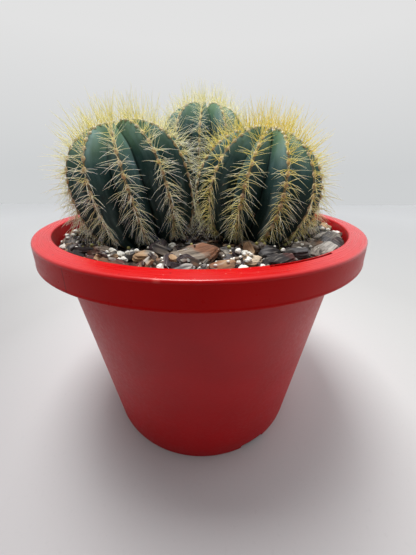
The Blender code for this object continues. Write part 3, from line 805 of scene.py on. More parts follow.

# %% [markdown]
# ## The skin's finish
#
# The skin is blue-green under a thin bloom of wax, which rubs off in streaks. It is palest and
# greenest high on the flanks. It is darkened towards the foot and in the valleys as painted shade,
# where little light gets in. The crest
# between two cushions has a thin corky line. Those patterns follow the ribs, so they read the
# fold and the height that each point of the mesh carries, and streaks run from root to crown.

# %% Mix the skin
skin = Finish("cactus_skin", 0.6, Specular_IOR_Level=0.30, Subsurface_Weight=0.06)
skin.shader.inputs["Subsurface Radius"].default_value = (0.6, 1.0, 0.5)
skin.shader.inputs["Subsurface Scale"].default_value = 1.5 * MM
on_skin = skin.attribute("skin_place", "Vector")
fold = skin.attribute("fold")
height = skin.attribute("height")
streaks = skin.noise(5 * MM, detail=5.0, stretch=(1.0, 0.16, 1.0), place=on_skin)
patches = skin.noise(13 * MM, detail=3.0)
pores = skin.noise(0.5 * MM, detail=2.0)
# The skin's own tone is palest high up. Its darkening towards the foot is painted shade.
flesh = skin.ramp(height, (0.0, tint(26, 51, 50)), (0.45, tint(47, 79, 76)), (0.98, tint(96, 130, 92)))
bloom = skin.math("MULTIPLY", skin.grade(streaks, 0.40, 0.66), skin.grade(patches, 0.35, 0.62))
flesh = skin.mix(skin.math("MULTIPLY", bloom, 0.60), flesh, tint(120, 150, 150))
flesh = skin.mix(skin.grade(pores, 0.58, 0.78, 0.0, 0.25), flesh, tint(120, 148, 128))
# Painted shade: the valleys are darkened where little light gets in.
flesh = skin.mix(skin.grade(fold, 0.88, 1.0, 0.0, 0.70), flesh, tint(10, 26, 22))
crest_line = skin.grade(fold, 0.03, 0.10, 1.0, 0.0)
cork = skin.math("MULTIPLY", crest_line, skin.grade(streaks, 0.3, 0.5, 0.5, 0.9))
skin.color(skin.mix(cork, flesh, tint(150, 128, 92)))
skin.roughness(skin.grade(bloom, 0.0, 0.6, 0.50, 0.72))
skin.bump(streaks, 0.12 * MM)
skin.bump(pores, 0.05 * MM)
for head in heads:
    stands_for = [f"stem_{head.name}"]
    make_piece(f"skin_{head.name}", skin_forms[head.name], [skin], stands_for, 34.0)
print("skin:", skin.material.name)

# %% [markdown]
# ## The spine cushions
#
# Each bundle of spines grows out of a small felted cushion, cream when young and tan when old. A
# flattened ball of a few dozen faces is enough for each, as there are hundreds of them, and a
# fuzzy relief in the finish makes it felt.

# %% Set the cushions on the crests
CUSHION_SIZE = Vector((1.2, 1.6, 1.0)) * MM  # half sizes across the rib, down it and outwards
CUSHION_SINK = 0.35 * MM  # how far its middle is under the crest
CUSHION_FUZZ = 0.25 * MM

felt = Finish("felt", 0.95, Sheen_Weight=0.5)
wool = felt.noise(0.35 * MM, detail=3.0)
aged = felt.ramp(felt.attribute("age"), (0.0, tint(240, 230, 194)), (0.45, tint(224, 188, 128)),
                 (1.0, tint(178, 142, 98)))
felt.color(felt.mix(felt.grade(wool, 0.35, 0.7, 0.0, 0.5), aged, tint(238, 226, 200)))
felt.bump(wool, 0.3 * MM)


def felt_cushion(cushion):
    """A flattened ball that lies on the crest, longer down the rib than across it."""
    young = held(cushion.height * 1.1)
    size = CUSHION_SIZE * (1.0 - 0.20 * young)
    turned = Matrix((cushion.across, cushion.up, cushion.outward)).transposed().to_4x4()
    place = Matrix.Translation(cushion.point - CUSHION_SINK * cushion.outward)
    ball = bmesh.new()
    age = ball.verts.layers.float.new("age")
    matrix = place @ turned @ Matrix.Diagonal((*size, 1.0))
    bmesh.ops.create_uvsphere(ball, u_segments=8, v_segments=6, radius=1.0, matrix=matrix)
    for vert in ball.verts:
        vert[age] = 1.0 - young
        vert.co += CUSHION_FUZZ * noise.noise_vector(vert.co * 1500.0)
    return ball


def gathered(forms):
    """Many small bmeshes in one, without running an operator on the growing whole."""
    whole = bmesh.new()
    part = bpy.data.meshes.new("part")
    for form in forms:
        form.to_mesh(part)
        form.free()
        whole.from_mesh(part)
    bpy.data.meshes.remove(part)
    return whole


for head in heads:
    form = gathered(felt_cushion(cushion) for cushion in cushions[head.name])
    piece = make_piece(f"cushions_{head.name}", form, [felt])
    print(piece.name, count_faces(piece), "faces")

# %% [markdown]
# ## The spines
#
# Each cushion carries two kinds of spine. Thin pale ones lie out to both sides like the teeth of a
# comb, and droop further the older the cushion is. Longer golden ones stand up from its middle, most
# of all round the crown. A spine is a tapering curve of four points, and all of a head's spines are
# one curve object, which Blender turns into a mesh of four-sided needles in one go. That is far
# quicker than adding thousands of cones, and the bend comes free.
#
# A spine that would run into the next head or into the mulch is shortened, as a real one is pushed
# aside or broken off, and where two heads crowd each other, over half of the spines have gone. A
# spine is a little translucent, so its finish scatters light inside it, which keeps it bright
# where it is lit from behind.

# %% Grow the spines
SPINE_BASE = 0.102 * MM  # the needle's radius where it leaves the cushion
SPINE_TAPER = 0.75  # the share of it that is gone at the tip
SIDE_SPINES = 14
SIDE_LENGTHS = (6.0 * MM, 11.5 * MM)
SIDE_SWING = (40, 165, 112)  # degrees round from straight up the rib: least, most and usual
SIDE_TILT = (48, 80)  # degrees away from straight out
MIDDLE_SPINES = 4
MIDDLE_LENGTHS = (7.5 * MM, 12.0 * MM)
MIDDLE_TILT = (4, 34)
MIDDLE_STOUTNESS = 1.15
SPINE_POINTS = 4
MULCH_ROOM = 3.0 * MM
HEAD_ROOM = 0.3 * MM
CROWD_REACH = 12 * MM  # a cushion this near to another head is crowded
CROWD_LOSS = 0.55  # the share of spines that a crowded cushion has lost


def blocked(head, point):
    """Whether a point is in another head or down in the mulch."""
    if point.z < soil_height(point.x, point.y) + MULCH_ROOM:
        return True
    return any(other.clearance(point) < HEAD_ROOM for other in heads if other is not head)


def spine_line(head, cushion, direction, length, bend, rng):
    """The points of one spine, shortened until its tip is clear, or nothing if there is no room."""
    spread_here = 0.5 * rng.uniform(-1, 1) * cushion.across + 2.0 * rng.uniform(-1, 1) * cushion.up
    start = cushion.point + MM * spread_here
    for _ in range(5):
        tip = start + length * direction + length * bend
        if not blocked(head, tip):
            break
        length *= 0.72
    else:
        return None
    line = []
    for step in range(SPINE_POINTS):
        share = step / (SPINE_POINTS - 1)
        line.append(start + share * length * direction + share**2 * length * bend)
    return line


def spine_direction(cushion, swing, tilt, side=1):
    """A direction that is tilted off straight out, towards a swing from straight up the rib."""
    flat = math.cos(swing) * cushion.up + side * math.sin(swing) * cushion.across
    return math.sin(tilt) * flat + math.cos(tilt) * cushion.outward


def spine_plan(cushion, rng):
    """The direction, the length and the stoutness of each spine on a cushion."""
    young = held((cushion.height - 0.40) / 0.5)
    plan = []
    for index in range(round(SIDE_SPINES * (1.0 - 0.62 * young))):
        swing = math.radians(rng.triangular(*SIDE_SWING) - 34 * young)
        tilt = math.radians(rng.uniform(*SIDE_TILT) - 26 * young)
        direction = spine_direction(cushion, swing, tilt, 1 if index % 2 else -1)
        plan.append((direction, rng.uniform(*SIDE_LENGTHS) * (1.0 - 0.10 * young), 1.0))
    for _ in range(MIDDLE_SPINES):
        swing = rng.uniform(0, 2 * math.pi)
        tilt = math.radians(rng.uniform(*MIDDLE_TILT))
        direction = spine_direction(cushion, swing, tilt)
        direction = (direction + 0.40 * young * Vector((0, 0, 1))).normalized()
        length = rng.uniform(*MIDDLE_LENGTHS) * (1.0 + 0.30 * young)
        plan.append((direction, length, MIDDLE_STOUTNESS))
    return plan


def spine_coat(head, rng):
    """One curve with every spine of a head."""
    data = bpy.data.curves.new(f"spines_{head.name}", "CURVE")
    data.dimensions = "3D"
    data.bevel_depth = SPINE_BASE
    data.bevel_resolution = 0
    data.use_fill_caps = True
    for cushion in cushions[head.name]:
        others = [other for other in heads if other is not head]
        crowded = any(other.clearance(cushion.point) < CROWD_REACH for other in others)
        droop = Vector((0, 0, -0.10 - 0.50 * held(0.5 - cushion.height)))
        for direction, length, stout in spine_plan(cushion, rng):
            if crowded and rng.random() < CROWD_LOSS:
                continue
            bend = droop + 0.10 * Vector([rng.uniform(-1, 1) for _ in range(3)])
            line = spine_line(head, cushion, direction, length, bend, rng)
            if line is None:
                continue
            spline = data.splines.new("POLY")
            spline.points.add(len(line) - 1)
            for index, point in enumerate(line):
                spline.points[index].co = (*point, 1.0)
                share = index / (len(line) - 1)
                spline.points[index].radius = stout * (1.0 - SPINE_TAPER * share**1.6)
    work = bpy.data.objects.new("work", data)
    bpy.context.scene.collection.objects.link(work)
    graph = bpy.context.evaluated_depsgraph_get()
    mesh = bpy.data.meshes.new_from_object(work.evaluated_get(graph))
    bpy.data.objects.remove(work)
    return mesh


def mark_spines(head, mesh):
    """Keeps on each point how golden it is, and how far out on its spine."""
    gold = mesh.attributes.new("gold", "FLOAT", "POINT")
    reach = mesh.attributes.new("reach", "FLOAT", "POINT")
    for index, vert in enumerate(mesh.vertices):
        out = max(0.0, head.clearance(vert.co))
        height = head.height_share(vert.co)
        clump = 0.35 * noise.noise(vert.co * 220.0)
        near = held(1.0 - out / (4.5 * MM))
        share = 0.55 + 0.45 * near + 0.75 * held(2.0 * height - 1.0)
        gold.data[index].value = held(head.gold * share + clump)
        reach.data[index].value = held(out / (12 * MM))


straw = Finish("spines", 0.45, Subsurface_Weight=0.7, Sheen_Weight=0.5)
straw.shader.inputs["Subsurface Radius"].default_value = (1.0, 0.95, 0.6)
straw.shader.inputs["Subsurface Scale"].default_value = 0.5 * MM
golden = straw.ramp(straw.attribute("gold"), (0.0, tint(255, 251, 226)), (0.35, tint(255, 243, 184)),
                    (0.65, tint(254, 226, 118)), (1.0, tint(250, 210, 60)))
aging = straw.grade(straw.attribute("reach"), 0.6, 1.0, 0.0, 0.15)
golden = straw.mix(aging, golden, tint(250, 232, 180))
bands = straw.noise(1.2 * MM, detail=2.0)
straw.color(straw.mix(straw.grade(bands, 0.5, 0.8, 0.0, 0.35), golden, tint(252, 248, 232)))
straw.bump(straw.noise(0.2 * MM, detail=1.0), 0.02 * MM)
for head in heads:
    coat = spine_coat(head, chance)
    coat.materials.clear()
    mark_spines(head, coat)
    piece = make_piece(f"needles_{head.name}", coat, [straw], [f"spines_{head.name}"])
    print(piece.name, count_faces(piece), "faces")

# %% [markdown]
# ## The potting mix
#
# Most of the mix is hidden, but it shows as dark crumbs between the chips. It is spun like the pot
# and fills it with a hair's breadth to spare. Its top is a fine set of rings whose points a noise
# lifts and drops, and where a head stands the top is pressed down until it clears the skin.

# %% Fill the pot with mix
MIX_GAP = 0.3 * MM
MIX_STEPS = 256
MIX_RINGS = 72
CRUMB_HEIGHT = 1.3 * MM

mix_outline = [
    (0.0, FLOOR_TOP + MIX_GAP, 0.0),
    (wall_radius(FLOOR_TOP) - WALL - FLOOR_CORNER, FLOOR_TOP + MIX_GAP, 0.0),
    (wall_radius(FLOOR_TOP + FLOOR_CORNER) - WALL - MIX_GAP, FLOOR_TOP + FLOOR_CORNER, 0.0),
    (BODY_TOP_RADIUS - WALL - MIX_GAP, SHOULDER_LOW, 0.0),
    (SOIL_RADIUS, SHOULDER_HIGH + MIX_GAP, 0.0),
]
mix_outline += [
    (SOIL_RADIUS * (1.0 - ring / MIX_RINGS), SOIL_LEVEL, 0.0) for ring in range(MIX_RINGS + 1)
]
mix_form = spun(rounded(mix_outline), MIX_STEPS)
for vert in mix_form.verts:
    if vert.co.z < SOIL_LEVEL - 0.1 * MM:
        continue
    crumbs = 0.6 * noise.noise(vert.co * 420.0) + 0.4 * noise.noise(vert.co * 1100.0)
    vert.co.z = soil_height(vert.co.x, vert.co.y) + CRUMB_HEIGHT * crumbs
    for head in heads:
        seat = head.point(0.0, SEAT_LATITUDE, 0.0).z - 1.0 * MM
        while head.clearance(vert.co) < 0.4 * MM and vert.co.z > seat:
            vert.co.z -= 0.4 * MM
mix_finish = Finish("potting_mix", 0.92)
crumb = mix_finish.noise(2.0 * MM, detail=6.0)
mix_finish.color(mix_finish.ramp(
    crumb,
    (0.30, tint(20, 15, 12)),
    (0.50, tint(48, 36, 28)),
    (0.62, tint(76, 60, 46)),
    (0.75, tint(110, 96, 78)),
))
mix_finish.bump(crumb, 1.2 * MM)
mix_piece = make_piece("mix", mix_form, [mix_finish], ["potting_mix"])
print("mix:", count_faces(mix_piece), "faces")

# %% [markdown]
# ## The bark chips
#
# Bark splits into flat flakes along its layers, so a chip has a weathered, fibrous face, a split
# face of another colour and a stepped edge. Each solid chip gives the outline. A voxel remesh
# turns it into an even skin of small squares, which can then be pushed about like clay: long
# fibres and lumps on the faces, and layers round the edge. Two tones are kept on the points, as the
# colour changes within one chip, and so is the direction of the fibres.
#
# The chips in front lie open to the front like shingles, so each is leaned about its own middle,
# by less where it would run into a head.

# %% Carve the bark chips
CHIP_VOXEL = 0.62 * MM
FIBER_RELIEF = 0.65 * MM
LAYER_HEIGHT = 1.3 * MM
LAYER_RELIEF = 0.45 * MM
CHIP_LEAN = (9, 20)  # how many degrees a chip in front lies open to the front
BACK_LEAN = 4.0
CHIP_ROLL = 6
CHIP_ROOM = 0.3 * MM  # between a leaned chip and a head

BARK = {
    "ash": tint(142, 134, 124),
    "silver": tint(178, 172, 164),
    "slate": tint(98, 96, 97),
    "umber": tint(112, 78, 54),
    "rust": tint(130, 86, 60),
    "sand": tint(178, 144, 108),
    "cream": tint(212, 192, 166),
    "plum": tint(58, 44, 48),
    "wine": tint(84, 44, 38),
    "coal": tint(44, 40, 40),
    "mouse": tint(132, 118, 104),
}
CHIP_TONES = {
    "big_brown": ("rust", "mouse"),
    "tan": ("sand", "rust"),
    "grey_long": ("slate", "ash"),
    "ribbed_grey": ("silver", "slate"),
    "brown_long": ("umber", "wine"),
    "purple_black": ("coal", "plum"),
    "light_grey": ("ash", "sand"),
    "red_brown": ("wine", "umber"),
    "dark_flat": ("coal", "wine"),
    "round_brown": ("mouse", "umber"),
    "slate": ("slate", "coal"),
    "wall_grey": ("slate", "mouse"),
    "dark_left": ("coal", "umber"),
    "pale_flat": ("cream", "sand"),
    "red_black": ("wine", "coal"),
    "dark_step": ("coal", "slate"),
    "brown_nugget": ("mouse", "umber"),
    "flat_shelf": ("slate", "coal"),
    "pale_grey": ("silver", "ash"),
    "brown_small": ("umber", "mouse"),
    "big_grey": ("ash", "slate"),
    "dark_right": ("coal", "slate"),
    "tan_right": ("sand", "mouse"),
}
BACK_TONES = [("ash", "umber"), ("rust", "mouse"), ("slate", "coal"), ("umber", "wine"), ("silver", "slate")]


def long_side(points):
    """The flat direction in which a set of points is longest."""
    middle = sum(points, Vector()) / len(points)
    far = max(points, key=lambda point: (point - middle).xy.length) - middle
    return Vector((far.x, far.y, 0.0)).normalized(), middle


def weather(mesh, along, middle, upper, lower, shift, relief=1.0):
    """Pushes fibres and layers into an even mesh, and keeps its tones and its fibres' direction."""
    across = Vector((-along.y, along.x, 0.0))
    tone = mesh.attributes.new("tone", "FLOAT_COLOR", "POINT")
    grain = mesh.attributes.new("grain", "FLOAT_VECTOR", "POINT")
    moved = []
    for index, vert in enumerate(mesh.vertices):
        offset = vert.co - middle
        local = Vector((offset.dot(along), offset.dot(across), offset.z))
        stretched = Vector((local.x * 70.0, local.y * 520.0, local.z * 520.0)) + Vector((shift, 0, 0))
        fiber = noise.noise(stretched) + 0.5 * noise.noise(stretched * 2.1)
        lump = noise.noise(local * 190.0 + Vector((0, shift, 0)))
        side = 1.0 - abs(vert.normal.z)
        layer = math.sin(2 * math.pi * local.z / LAYER_HEIGHT + 3.0 * noise.noise(local * 120.0))
        push = FIBER_RELIEF * 0.6 * fiber * (1.0 - side) + 0.7 * FIBER_RELIEF * lump
        push += LAYER_RELIEF * layer * side
        moved.append(vert.co + relief * push * vert.normal)
        patch = 0.6 * lump + noise.noise(local * 60.0 + Vector((shift, 0, 0)))
        patch += 0.5 * noise.noise(local * 420.0)
        slope = (offset.x + offset.y) / (16.0 * MM)
        share = held(0.5 + 2.2 * (0.6 * patch - slope) + 0.6 * side * max(0.0, layer))
        tone.data[index].color = mixed(upper, lower, share)
        grain.data[index].vector = local + Vector((0, 0, shift))
    for vert, place in zip(mesh.vertices, moved):
        vert.co = place
    return mesh


def carved_chip(solid, tones, rng):
    """A solid chip as bark, leaned about its middle as far as the heads allow."""
    bm = bmesh.new()
    bm.from_mesh(solid.data)
    bmesh.ops.remove_doubles(bm, verts=bm.verts, dist=0.01 * MM)
    along, middle = long_side([vert.co.copy() for vert in bm.verts])
    mesh = after_modifiers(bm, ("REMESH", {"mode": "VOXEL", "voxel_size": CHIP_VOXEL}))
    weather(mesh, along, middle, BARK[tones[0]], BARK[tones[1]], rng.uniform(0, 50))
    lean = rng.uniform(*CHIP_LEAN) if middle.y < 0 else BACK_LEAN
    roll = rng.uniform(-CHIP_ROLL, CHIP_ROLL)
    for _ in range(6):
        tilt = Matrix.Rotation(math.radians(lean), 4, "X") @ Matrix.Rotation(math.radians(roll), 4, "Y")
        place = Matrix.Translation(middle) @ tilt @ Matrix.Translation(-middle)
        spots = [place @ vert.co for vert in list(mesh.vertices)[::7]]
        if all(head.clearance(spot) > CHIP_ROOM for head in heads for spot in spots):
            break
        lean *= 0.6
        roll *= 0.6
    mesh.transform(place)
    return mesh


bark = Finish("bark", 0.82, Specular_IOR_Level=0.4)
on_bark = bark.attribute("grain", "Vector")
fibers = bark.noise(1.1 * MM, detail=5.0, stretch=(0.12, 1.0, 1.0), place=on_bark)
cracks = bark.noise(3.2 * MM, detail=4.0, stretch=(0.35, 1.0, 1.0), place=on_bark)
flesh = bark.attribute("tone", "Color")
flesh = bark.mix(bark.grade(fibers, 0.48, 0.30, 0.0, 0.70), flesh, tint(26, 19, 16))
flesh = bark.mix(bark.grade(fibers, 0.56, 0.74, 0.0, 0.40), flesh, tint(216, 206, 190))
bark.color(bark.mix(bark.grade(cracks, 0.44, 0.34, 0.0, 0.8), flesh, tint(22, 16, 14)))
bark.bump(fibers, 0.5 * MM)
bark.bump(cracks, 0.5 * MM)

MULCH_SEED = 21

mulch_chance = random.Random(MULCH_SEED)
laid = []
for name in sorted(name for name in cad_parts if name.startswith("bark_chip_")):
    kind = name.removeprefix("bark_chip_")
    tones = CHIP_TONES.get(kind) or BACK_TONES[int(kind[-2:]) % len(BACK_TONES)]
    mesh = carved_chip(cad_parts[name], tones, mulch_chance)
    laid.append(make_piece(f"carved_{kind}", mesh, [bark], [name], 40.0))
print(len(laid), "carved chips,", count_faces(*laid), "faces")

# %% [markdown]
# ## Pumice
#
# Pumice stones are pale froth: rounded lumps full of tiny holes. A ball of small triangles is
# squashed to each solid stone's box, made uneven by a noise, and pitted in its finish.

# %% Round off the pumice stones
pumice = Finish("pumice", 0.95, Specular_IOR_Level=0.2)
pits = pumice.cells(0.8 * MM)
shade = pumice.noise(1.6 * MM, detail=4.0)
froth = [(0.3, tint(226, 220, 204)), (0.55, tint(246, 243, 234)), (0.8, tint(255, 254, 250))]
flesh = pumice.ramp(shade, *froth)
pumice.color(pumice.mix(pumice.grade(pits, 0.08, 0.24, 0.45, 0.0), flesh, tint(140, 126, 104)))
pumice.bump(pits, 0.35 * MM)
pumice.bump(shade, 0.3 * MM)


def pumice_lump(middle, size, subdivisions, rng):
    """An uneven ball of the given half sizes."""
    bm = bmesh.new()
    bmesh.ops.create_icosphere(bm, subdivisions=subdivisions, radius=1.0)
    shift = Vector((rng.uniform(0, 50), 0, 0))
    turned = Matrix.Rotation(rng.uniform(0, 6.28), 3, "Z")
    for vert in bm.verts:
        swell = 1.0 + 0.22 * noise.noise(vert.co * 1.3 + shift) + 0.08 * noise.noise(vert.co * 4.0 + shift)
        place = turned @ vert.co * swell
        vert.co = middle + Vector((place.x * size.x, place.y * size.y, place.z * size.z))
    return bm


for name in sorted(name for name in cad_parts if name.startswith("pumice_")):
    lowest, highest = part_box(name)
    lump = pumice_lump((lowest + highest) / 2, (highest - lowest) / 2, 4, mulch_chance)
    laid.append(make_piece(f"stone_{name[-2:]}", lump, [pumice], [name]))
print(len(laid), "pieces of mulch so far")

# %% [markdown]
# ## More mulch, layer by layer
#
# The solids are only the largest pieces. Real mulch is a heap, where smaller flakes lie across the
# gaps and crumbs fill what is left. So each new layer is dropped: a ray is sent down at the piece's
# middle and at its ends, and the piece comes to rest at the height and the tilt of what the rays
# hit. Each layer is one mesh, and each of its pieces has only a few dozen faces. Nearly all the
# pieces go where the mix still shows, so that the carved chips stay in view.

# %% A heap that things come to rest on
RAY_START = POT_HEIGHT + 40.0 * MM
GAP_HEIGHT = 1.6 * MM  # the mix counts as showing where nothing is higher than this above it
STEEPEST = 0.7  # the slope that a piece can come to rest at


class Heap:
    """What has been laid so far, as one surface that rays can hit."""

    def __init__(self, pieces):
        verts, faces = [], []
        for piece in pieces:
            first = len(verts)
            verts.extend(vert.co.copy() for vert in piece.data.vertices)
            faces.extend([first + vert for vert in face.vertices] for face in piece.data.polygons)
        self.tree = BVHTree.FromPolygons(verts, faces)

    def height(self, spot):
        hit = self.tree.ray_cast(Vector((spot.x, spot.y, RAY_START)), Vector((0, 0, -1)))[0]
        return hit.z if hit else soil_height(spot.x, spot.y)

    def is_gap(self, spot):
        """Whether the mix still shows here."""
        return self.height(spot) < soil_height(spot.x, spot.y) + GAP_HEIGHT

    def rest(self, spot, along, half_length, half_width):
        """A matrix that lays a flat piece at a spot: its middle's height and its tilt."""
        across = Vector((-along.y, along.x, 0.0))
        ends = [self.height(spot + sign * half_length * along) for sign in (-1, 1)]
        sides = [self.height(spot + sign * half_width * across) for sign in (-1, 1)]
        middle = max(self.height(spot), (sum(ends) + sum(sides)) / 4)
        pitch = held((ends[1] - ends[0]) / (2 * half_length), -STEEPEST, STEEPEST)
        roll = held((sides[1] - sides[0]) / (2 * half_width), -STEEPEST, STEEPEST)
        first = (along + Vector((0, 0, pitch))).normalized()
        second = (across + Vector((0, 0, roll))).normalized()
        up = first.cross(second).normalized()
        axes = Matrix((first, up.cross(first), up)).transposed().to_4x4()
        return Matrix.Translation((spot.x, spot.y, middle)) @ axes


def open_spot(rng, margin):
    """A random place on the mix that is clear of the wall and of the heads."""
    while True:
        reach = SOIL_RADIUS * math.sqrt(rng.uniform(0.0, 1.0))
        bearing = rng.uniform(0, 2 * math.pi)
        spot = Vector((reach * math.sin(bearing), -reach * math.cos(bearing), 0.0))
        spot.z = soil_height(spot.x, spot.y) + 4.0 * MM
        if reach > SOIL_RADIUS - margin:
            continue
        if all(head.clearance(spot) > margin for head in heads):
            return spot


def flake(length, width, thick, rng, cuts):
    """A small split flake about its own middle: a block, subdivided and broken by a noise."""
    bm = bmesh.new()
    bmesh.ops.create_cube(bm, size=1.0)
    bmesh.ops.subdivide_edges(bm, edges=bm.edges[:], cuts=cuts, use_grid_fill=True)
    shift = Vector((rng.uniform(0, 90), 0, 0))
    for vert in bm.verts:
        corner = 1.0 - 0.22 * (abs(2 * vert.co.x) ** 2) * (abs(2 * vert.co.y) ** 2)
        swell = 0.30 * noise.noise_vector(vert.co * 2.1 + shift)
        vert.co = Vector((vert.co.x * corner, vert.co.y * corner, vert.co.z)) + 0.6 * swell
        vert.co = Vector((vert.co.x * length, vert.co.y * width, vert.co.z * thick))
    return bm


def toned(bm, upper, lower, rng):
    """Keeps the tones and the fibres' direction of a flake on its points, before it is laid."""
    tone = bm.verts.layers.float_color.new("tone")
    grain = bm.verts.layers.float_vector.new("grain")
    shift = rng.uniform(0, 50)
    for vert in bm.verts:
        share = held(0.5 + 1.4 * noise.noise(vert.co * 260.0 + Vector((shift, 0, 0))))
        vert[tone] = mixed(upper, lower, share)
        vert[grain] = vert.co + Vector((0, 0, shift))
    return bm


# %% [markdown]
# The flakes go down from the largest to the crumbs, as the small ones sift into the gaps that the
# large ones leave. The heap is taken anew after each layer, so that the next one rests on it.

# %% Lay the flakes and the crumbs
LAYERS = (
    # name, how many, lengths and thicknesses in mm, width share, room to the wall and the heads,
    # and the share of strays that land on a carved chip
    ("flakes_large", 60, (9.0, 14.0), (1.8, 3.2), (0.45, 0.75), 5.0, 0.0),
    ("flakes_middle", 110, (5.0, 9.0), (1.4, 2.6), (0.45, 0.85), 3.0, 0.0),
    ("flakes_small", 260, (2.5, 5.0), (0.9, 2.0), (0.40, 0.95), 1.4, 0.06),
    ("crumbs", 420, (0.9, 2.2), (0.6, 1.4), (0.50, 1.00), 0.8, 0.10),
)
CRUMB_LENGTH = 2.4 * MM  # a piece no longer than this gets fewer faces
COMMON_TONES = ["ash", "slate", "slate", "coal", "coal", "coal",
                "umber", "mouse", "mouse", "wine", "plum", "plum", "sand", "silver"]

heap = Heap(laid + [mix_piece])
bare_heap = heap  # without any of the layers
for name, count, lengths, thicks, widths, margin, strays in LAYERS:
    forms = []
    for _ in range(count):
        length = mulch_chance.uniform(*lengths) * MM
        width = length * mulch_chance.uniform(*widths)
        thick = mulch_chance.uniform(*thicks) * MM
        spot = open_spot(mulch_chance, margin * MM)
        while not bare_heap.is_gap(spot) and mulch_chance.random() > strays:
            spot = open_spot(mulch_chance, margin * MM)
        bearing = mulch_chance.uniform(0, 2 * math.pi)
        along = Vector((math.cos(bearing), math.sin(bearing), 0.0))
        place = heap.rest(spot, along, length * 0.4, width * 0.4)
        tones = [BARK[mulch_chance.choice(COMMON_TONES)] for _ in range(2)]
        cuts = 2 if length > CRUMB_LENGTH else 1
        form = toned(flake(length, width, thick, mulch_chance, cuts), *tones, mulch_chance)
        form.transform(Matrix.Translation((0, 0, thick * 0.35)) @ place)
        forms.append(form)
    piece = make_piece(name, gathered(forms), [bark], sharp=40.0)
    laid.append(piece)
    heap = Heap(laid + [mix_piece])
    print(name, count_faces(piece), "faces")

# %% [markdown]
# Small white grains of perlite gather in the hollows of the mulch, some in clusters where they were
# washed together and some alone. They are the pumice stones' ball again, with fewer faces.

# %% Scatter the perlite grains
GRAIN_CLUSTERS = (  # bearings, and distances from the axis as shares of the mix's radius
    (-30, 0.83), (12, 0.88), (16, 0.78), (40, 0.80),
    (75, 0.93), (-70, 0.94), (150, 0.9), (-140, 0.9),
)
CLUSTER_GRAINS = 13
LOOSE_GRAINS = 90


def near_bearing(bearing, share, swing, wander, limit, rng):
    """A random place on the mix near a bearing and a share of its radius."""
    angle = math.radians(bearing + rng.gauss(0, swing))
    reach = SOIL_RADIUS * min(limit, share + rng.gauss(0, wander))
    return Vector((reach * math.sin(angle), -reach * math.cos(angle), 0.0))


grains = []
for bearing, share in GRAIN_CLUSTERS:
    for _ in range(CLUSTER_GRAINS):
        spot = near_bearing(bearing, share, 4.5, 0.035, 0.975, mulch_chance)
        half = mulch_chance.uniform(0.5, 1.5) * MM
        spot.z = heap.height(spot) + 0.6 * half
        grains.append(pumice_lump(spot, Vector((half, half, 0.8 * half)), 2, mulch_chance))
for _ in range(LOOSE_GRAINS):
    spot = open_spot(mulch_chance, 1.2 * MM)
    half = mulch_chance.uniform(0.35, 0.9) * MM
    spot.z = heap.height(spot) + 0.5 * half
    grains.append(pumice_lump(spot, Vector((half, half, 0.8 * half)), 1, mulch_chance))
perlite = make_piece("perlite", gathered(grains), [pumice])
print("perlite:", count_faces(perlite), "faces")

# %% [markdown]
# Round the feet of the heads lie a few yellow-green pellets of slow feed, and spines that broke
# off. A broken spine lies flat where it fell, so it takes its two ends' heights from the heap.

# %% Scatter the pellets and the broken spines
PELLET_SPOTS = (  # bearings, shares of the mix's radius, and how many pellets
    (-30, 0.60, 16), (-55, 0.80, 10), (34, 0.66, 16),
    (48, 0.72, 14), (2, 0.60, 8), (200, 0.85, 10),
)
BROKEN_SPINES = 90

feed = Finish("pellets", 0.6)
feed.color(feed.ramp(feed.noise(1.5 * MM), (0.3, tint(150, 146, 72)), (0.7, tint(196, 190, 120))))
feed.bump(feed.noise(0.5 * MM), 0.1 * MM)
pellets = []
for bearing, share, count in PELLET_SPOTS:
    for _ in range(count):
        spot = near_bearing(bearing, share, 6.0, 0.04, 0.96, mulch_chance)
        half = mulch_chance.uniform(0.6, 1.0) * MM
        spot.z = heap.height(spot) + 0.7 * half
        if all(head.clearance(spot) > half for head in heads):
            pellets.append(pumice_lump(spot, Vector((half, half, half)), 2, mulch_chance))
pellet_piece = make_piece("pellets", gathered(pellets), [feed])

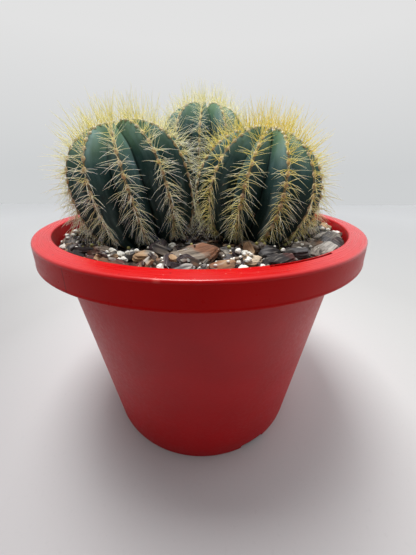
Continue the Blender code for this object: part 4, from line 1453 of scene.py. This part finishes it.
broken = []
for _ in range(BROKEN_SPINES):
    spot = open_spot(mulch_chance, 1.0 * MM)
    bearing = mulch_chance.uniform(0, 2 * math.pi)
    half = mulch_chance.uniform(2.5, 5.0) * MM
    along = half * Vector((math.cos(bearing), math.sin(bearing), 0.0))
    ends = [spot - along, spot + along]
    for end in ends:
        end.z = heap.height(end) + 0.3 * MM
    if max(end.xy.length for end in ends) > SOIL_RADIUS - 1.0 * MM:
        continue
    needle = bmesh.new()
    reach = ends[1] - ends[0]
    turned = reach.to_track_quat("Z", "Y").to_matrix().to_4x4()
    place = Matrix.Translation((ends[0] + ends[1]) / 2) @ turned
    sizes = {"radius1": 0.12 * MM, "radius2": 0.05 * MM, "depth": reach.length}
    bmesh.ops.create_cone(needle, cap_ends=True, segments=5, matrix=place, **sizes)
    broken.append(needle)
broken_piece = make_piece("broken_spines", gathered(broken), [straw])
print("pellets:", count_faces(pellet_piece), "faces, broken spines:", count_faces(broken_piece), "faces")

# %% [markdown]
# ## The floor
#
# A pale sheet of paper, far wider than the pot, gives one calm background from any side. It is a
# stage and not part of the plant. Its colour holds painted shade and light: it is darker towards the
# front and the left, as painted shade, paler close round the pot, as painted light over the pot's
# shadow, and white in the distance, so that the horizon fades into the backdrop.

# %% Lay the floor
FLOOR_SIZE = 2.4

floor_form = bmesh.new()
bmesh.ops.create_grid(floor_form, x_segments=2, y_segments=2, size=FLOOR_SIZE / 2)
floor_mesh = bpy.data.meshes.new("floor")
floor_form.to_mesh(floor_mesh)
floor_form.free()
floor_finish = Finish("pale_floor", 0.6, Specular_IOR_Level=0.2)
spots = floor_finish.node("SeparateXYZ", (0, floor_finish.place)).outputs
# Painted shade: the floor's colour darkens towards the front and the left.
painted_shade_slant = floor_finish.math("ADD", spots[1], floor_finish.math("MULTIPLY", spots[0], 0.80))
distance = floor_finish.node("VectorMath", (0, floor_finish.place), operation="LENGTH").outputs["Value"]
paper_painted_light_shade = floor_finish.ramp(
    floor_finish.grade(painted_shade_slant, -0.34, 0.10),
    (0.0, tint(152, 149, 150)),
    (1.0, tint(212, 211, 209)),
)
paper_painted_light_shade = floor_finish.mix(floor_finish.grade(distance, 0.35, 1.1), paper_painted_light_shade, tint(255, 255, 255))
# Painted light: the floor is paler close round the pot, over its shadow.
paper_painted_light_shade = floor_finish.mix(floor_finish.grade(distance, 0.09, 0.24, 0.55, 0.0), paper_painted_light_shade, tint(222, 219, 220))
grit = floor_finish.noise(3 * MM, detail=4.0)
paper_painted_light_shade = floor_finish.mix(floor_finish.grade(grit, 0.60, 0.80, 0.0, 0.10), paper_painted_light_shade, tint(150, 148, 146))
floor_finish.color(paper_painted_light_shade)
floor_mesh.materials.append(floor_finish.material)
floor = bpy.data.objects.new("floor", floor_mesh)
bpy.context.scene.collection.objects.link(floor)
print("floor", FLOOR_SIZE, "m wide")
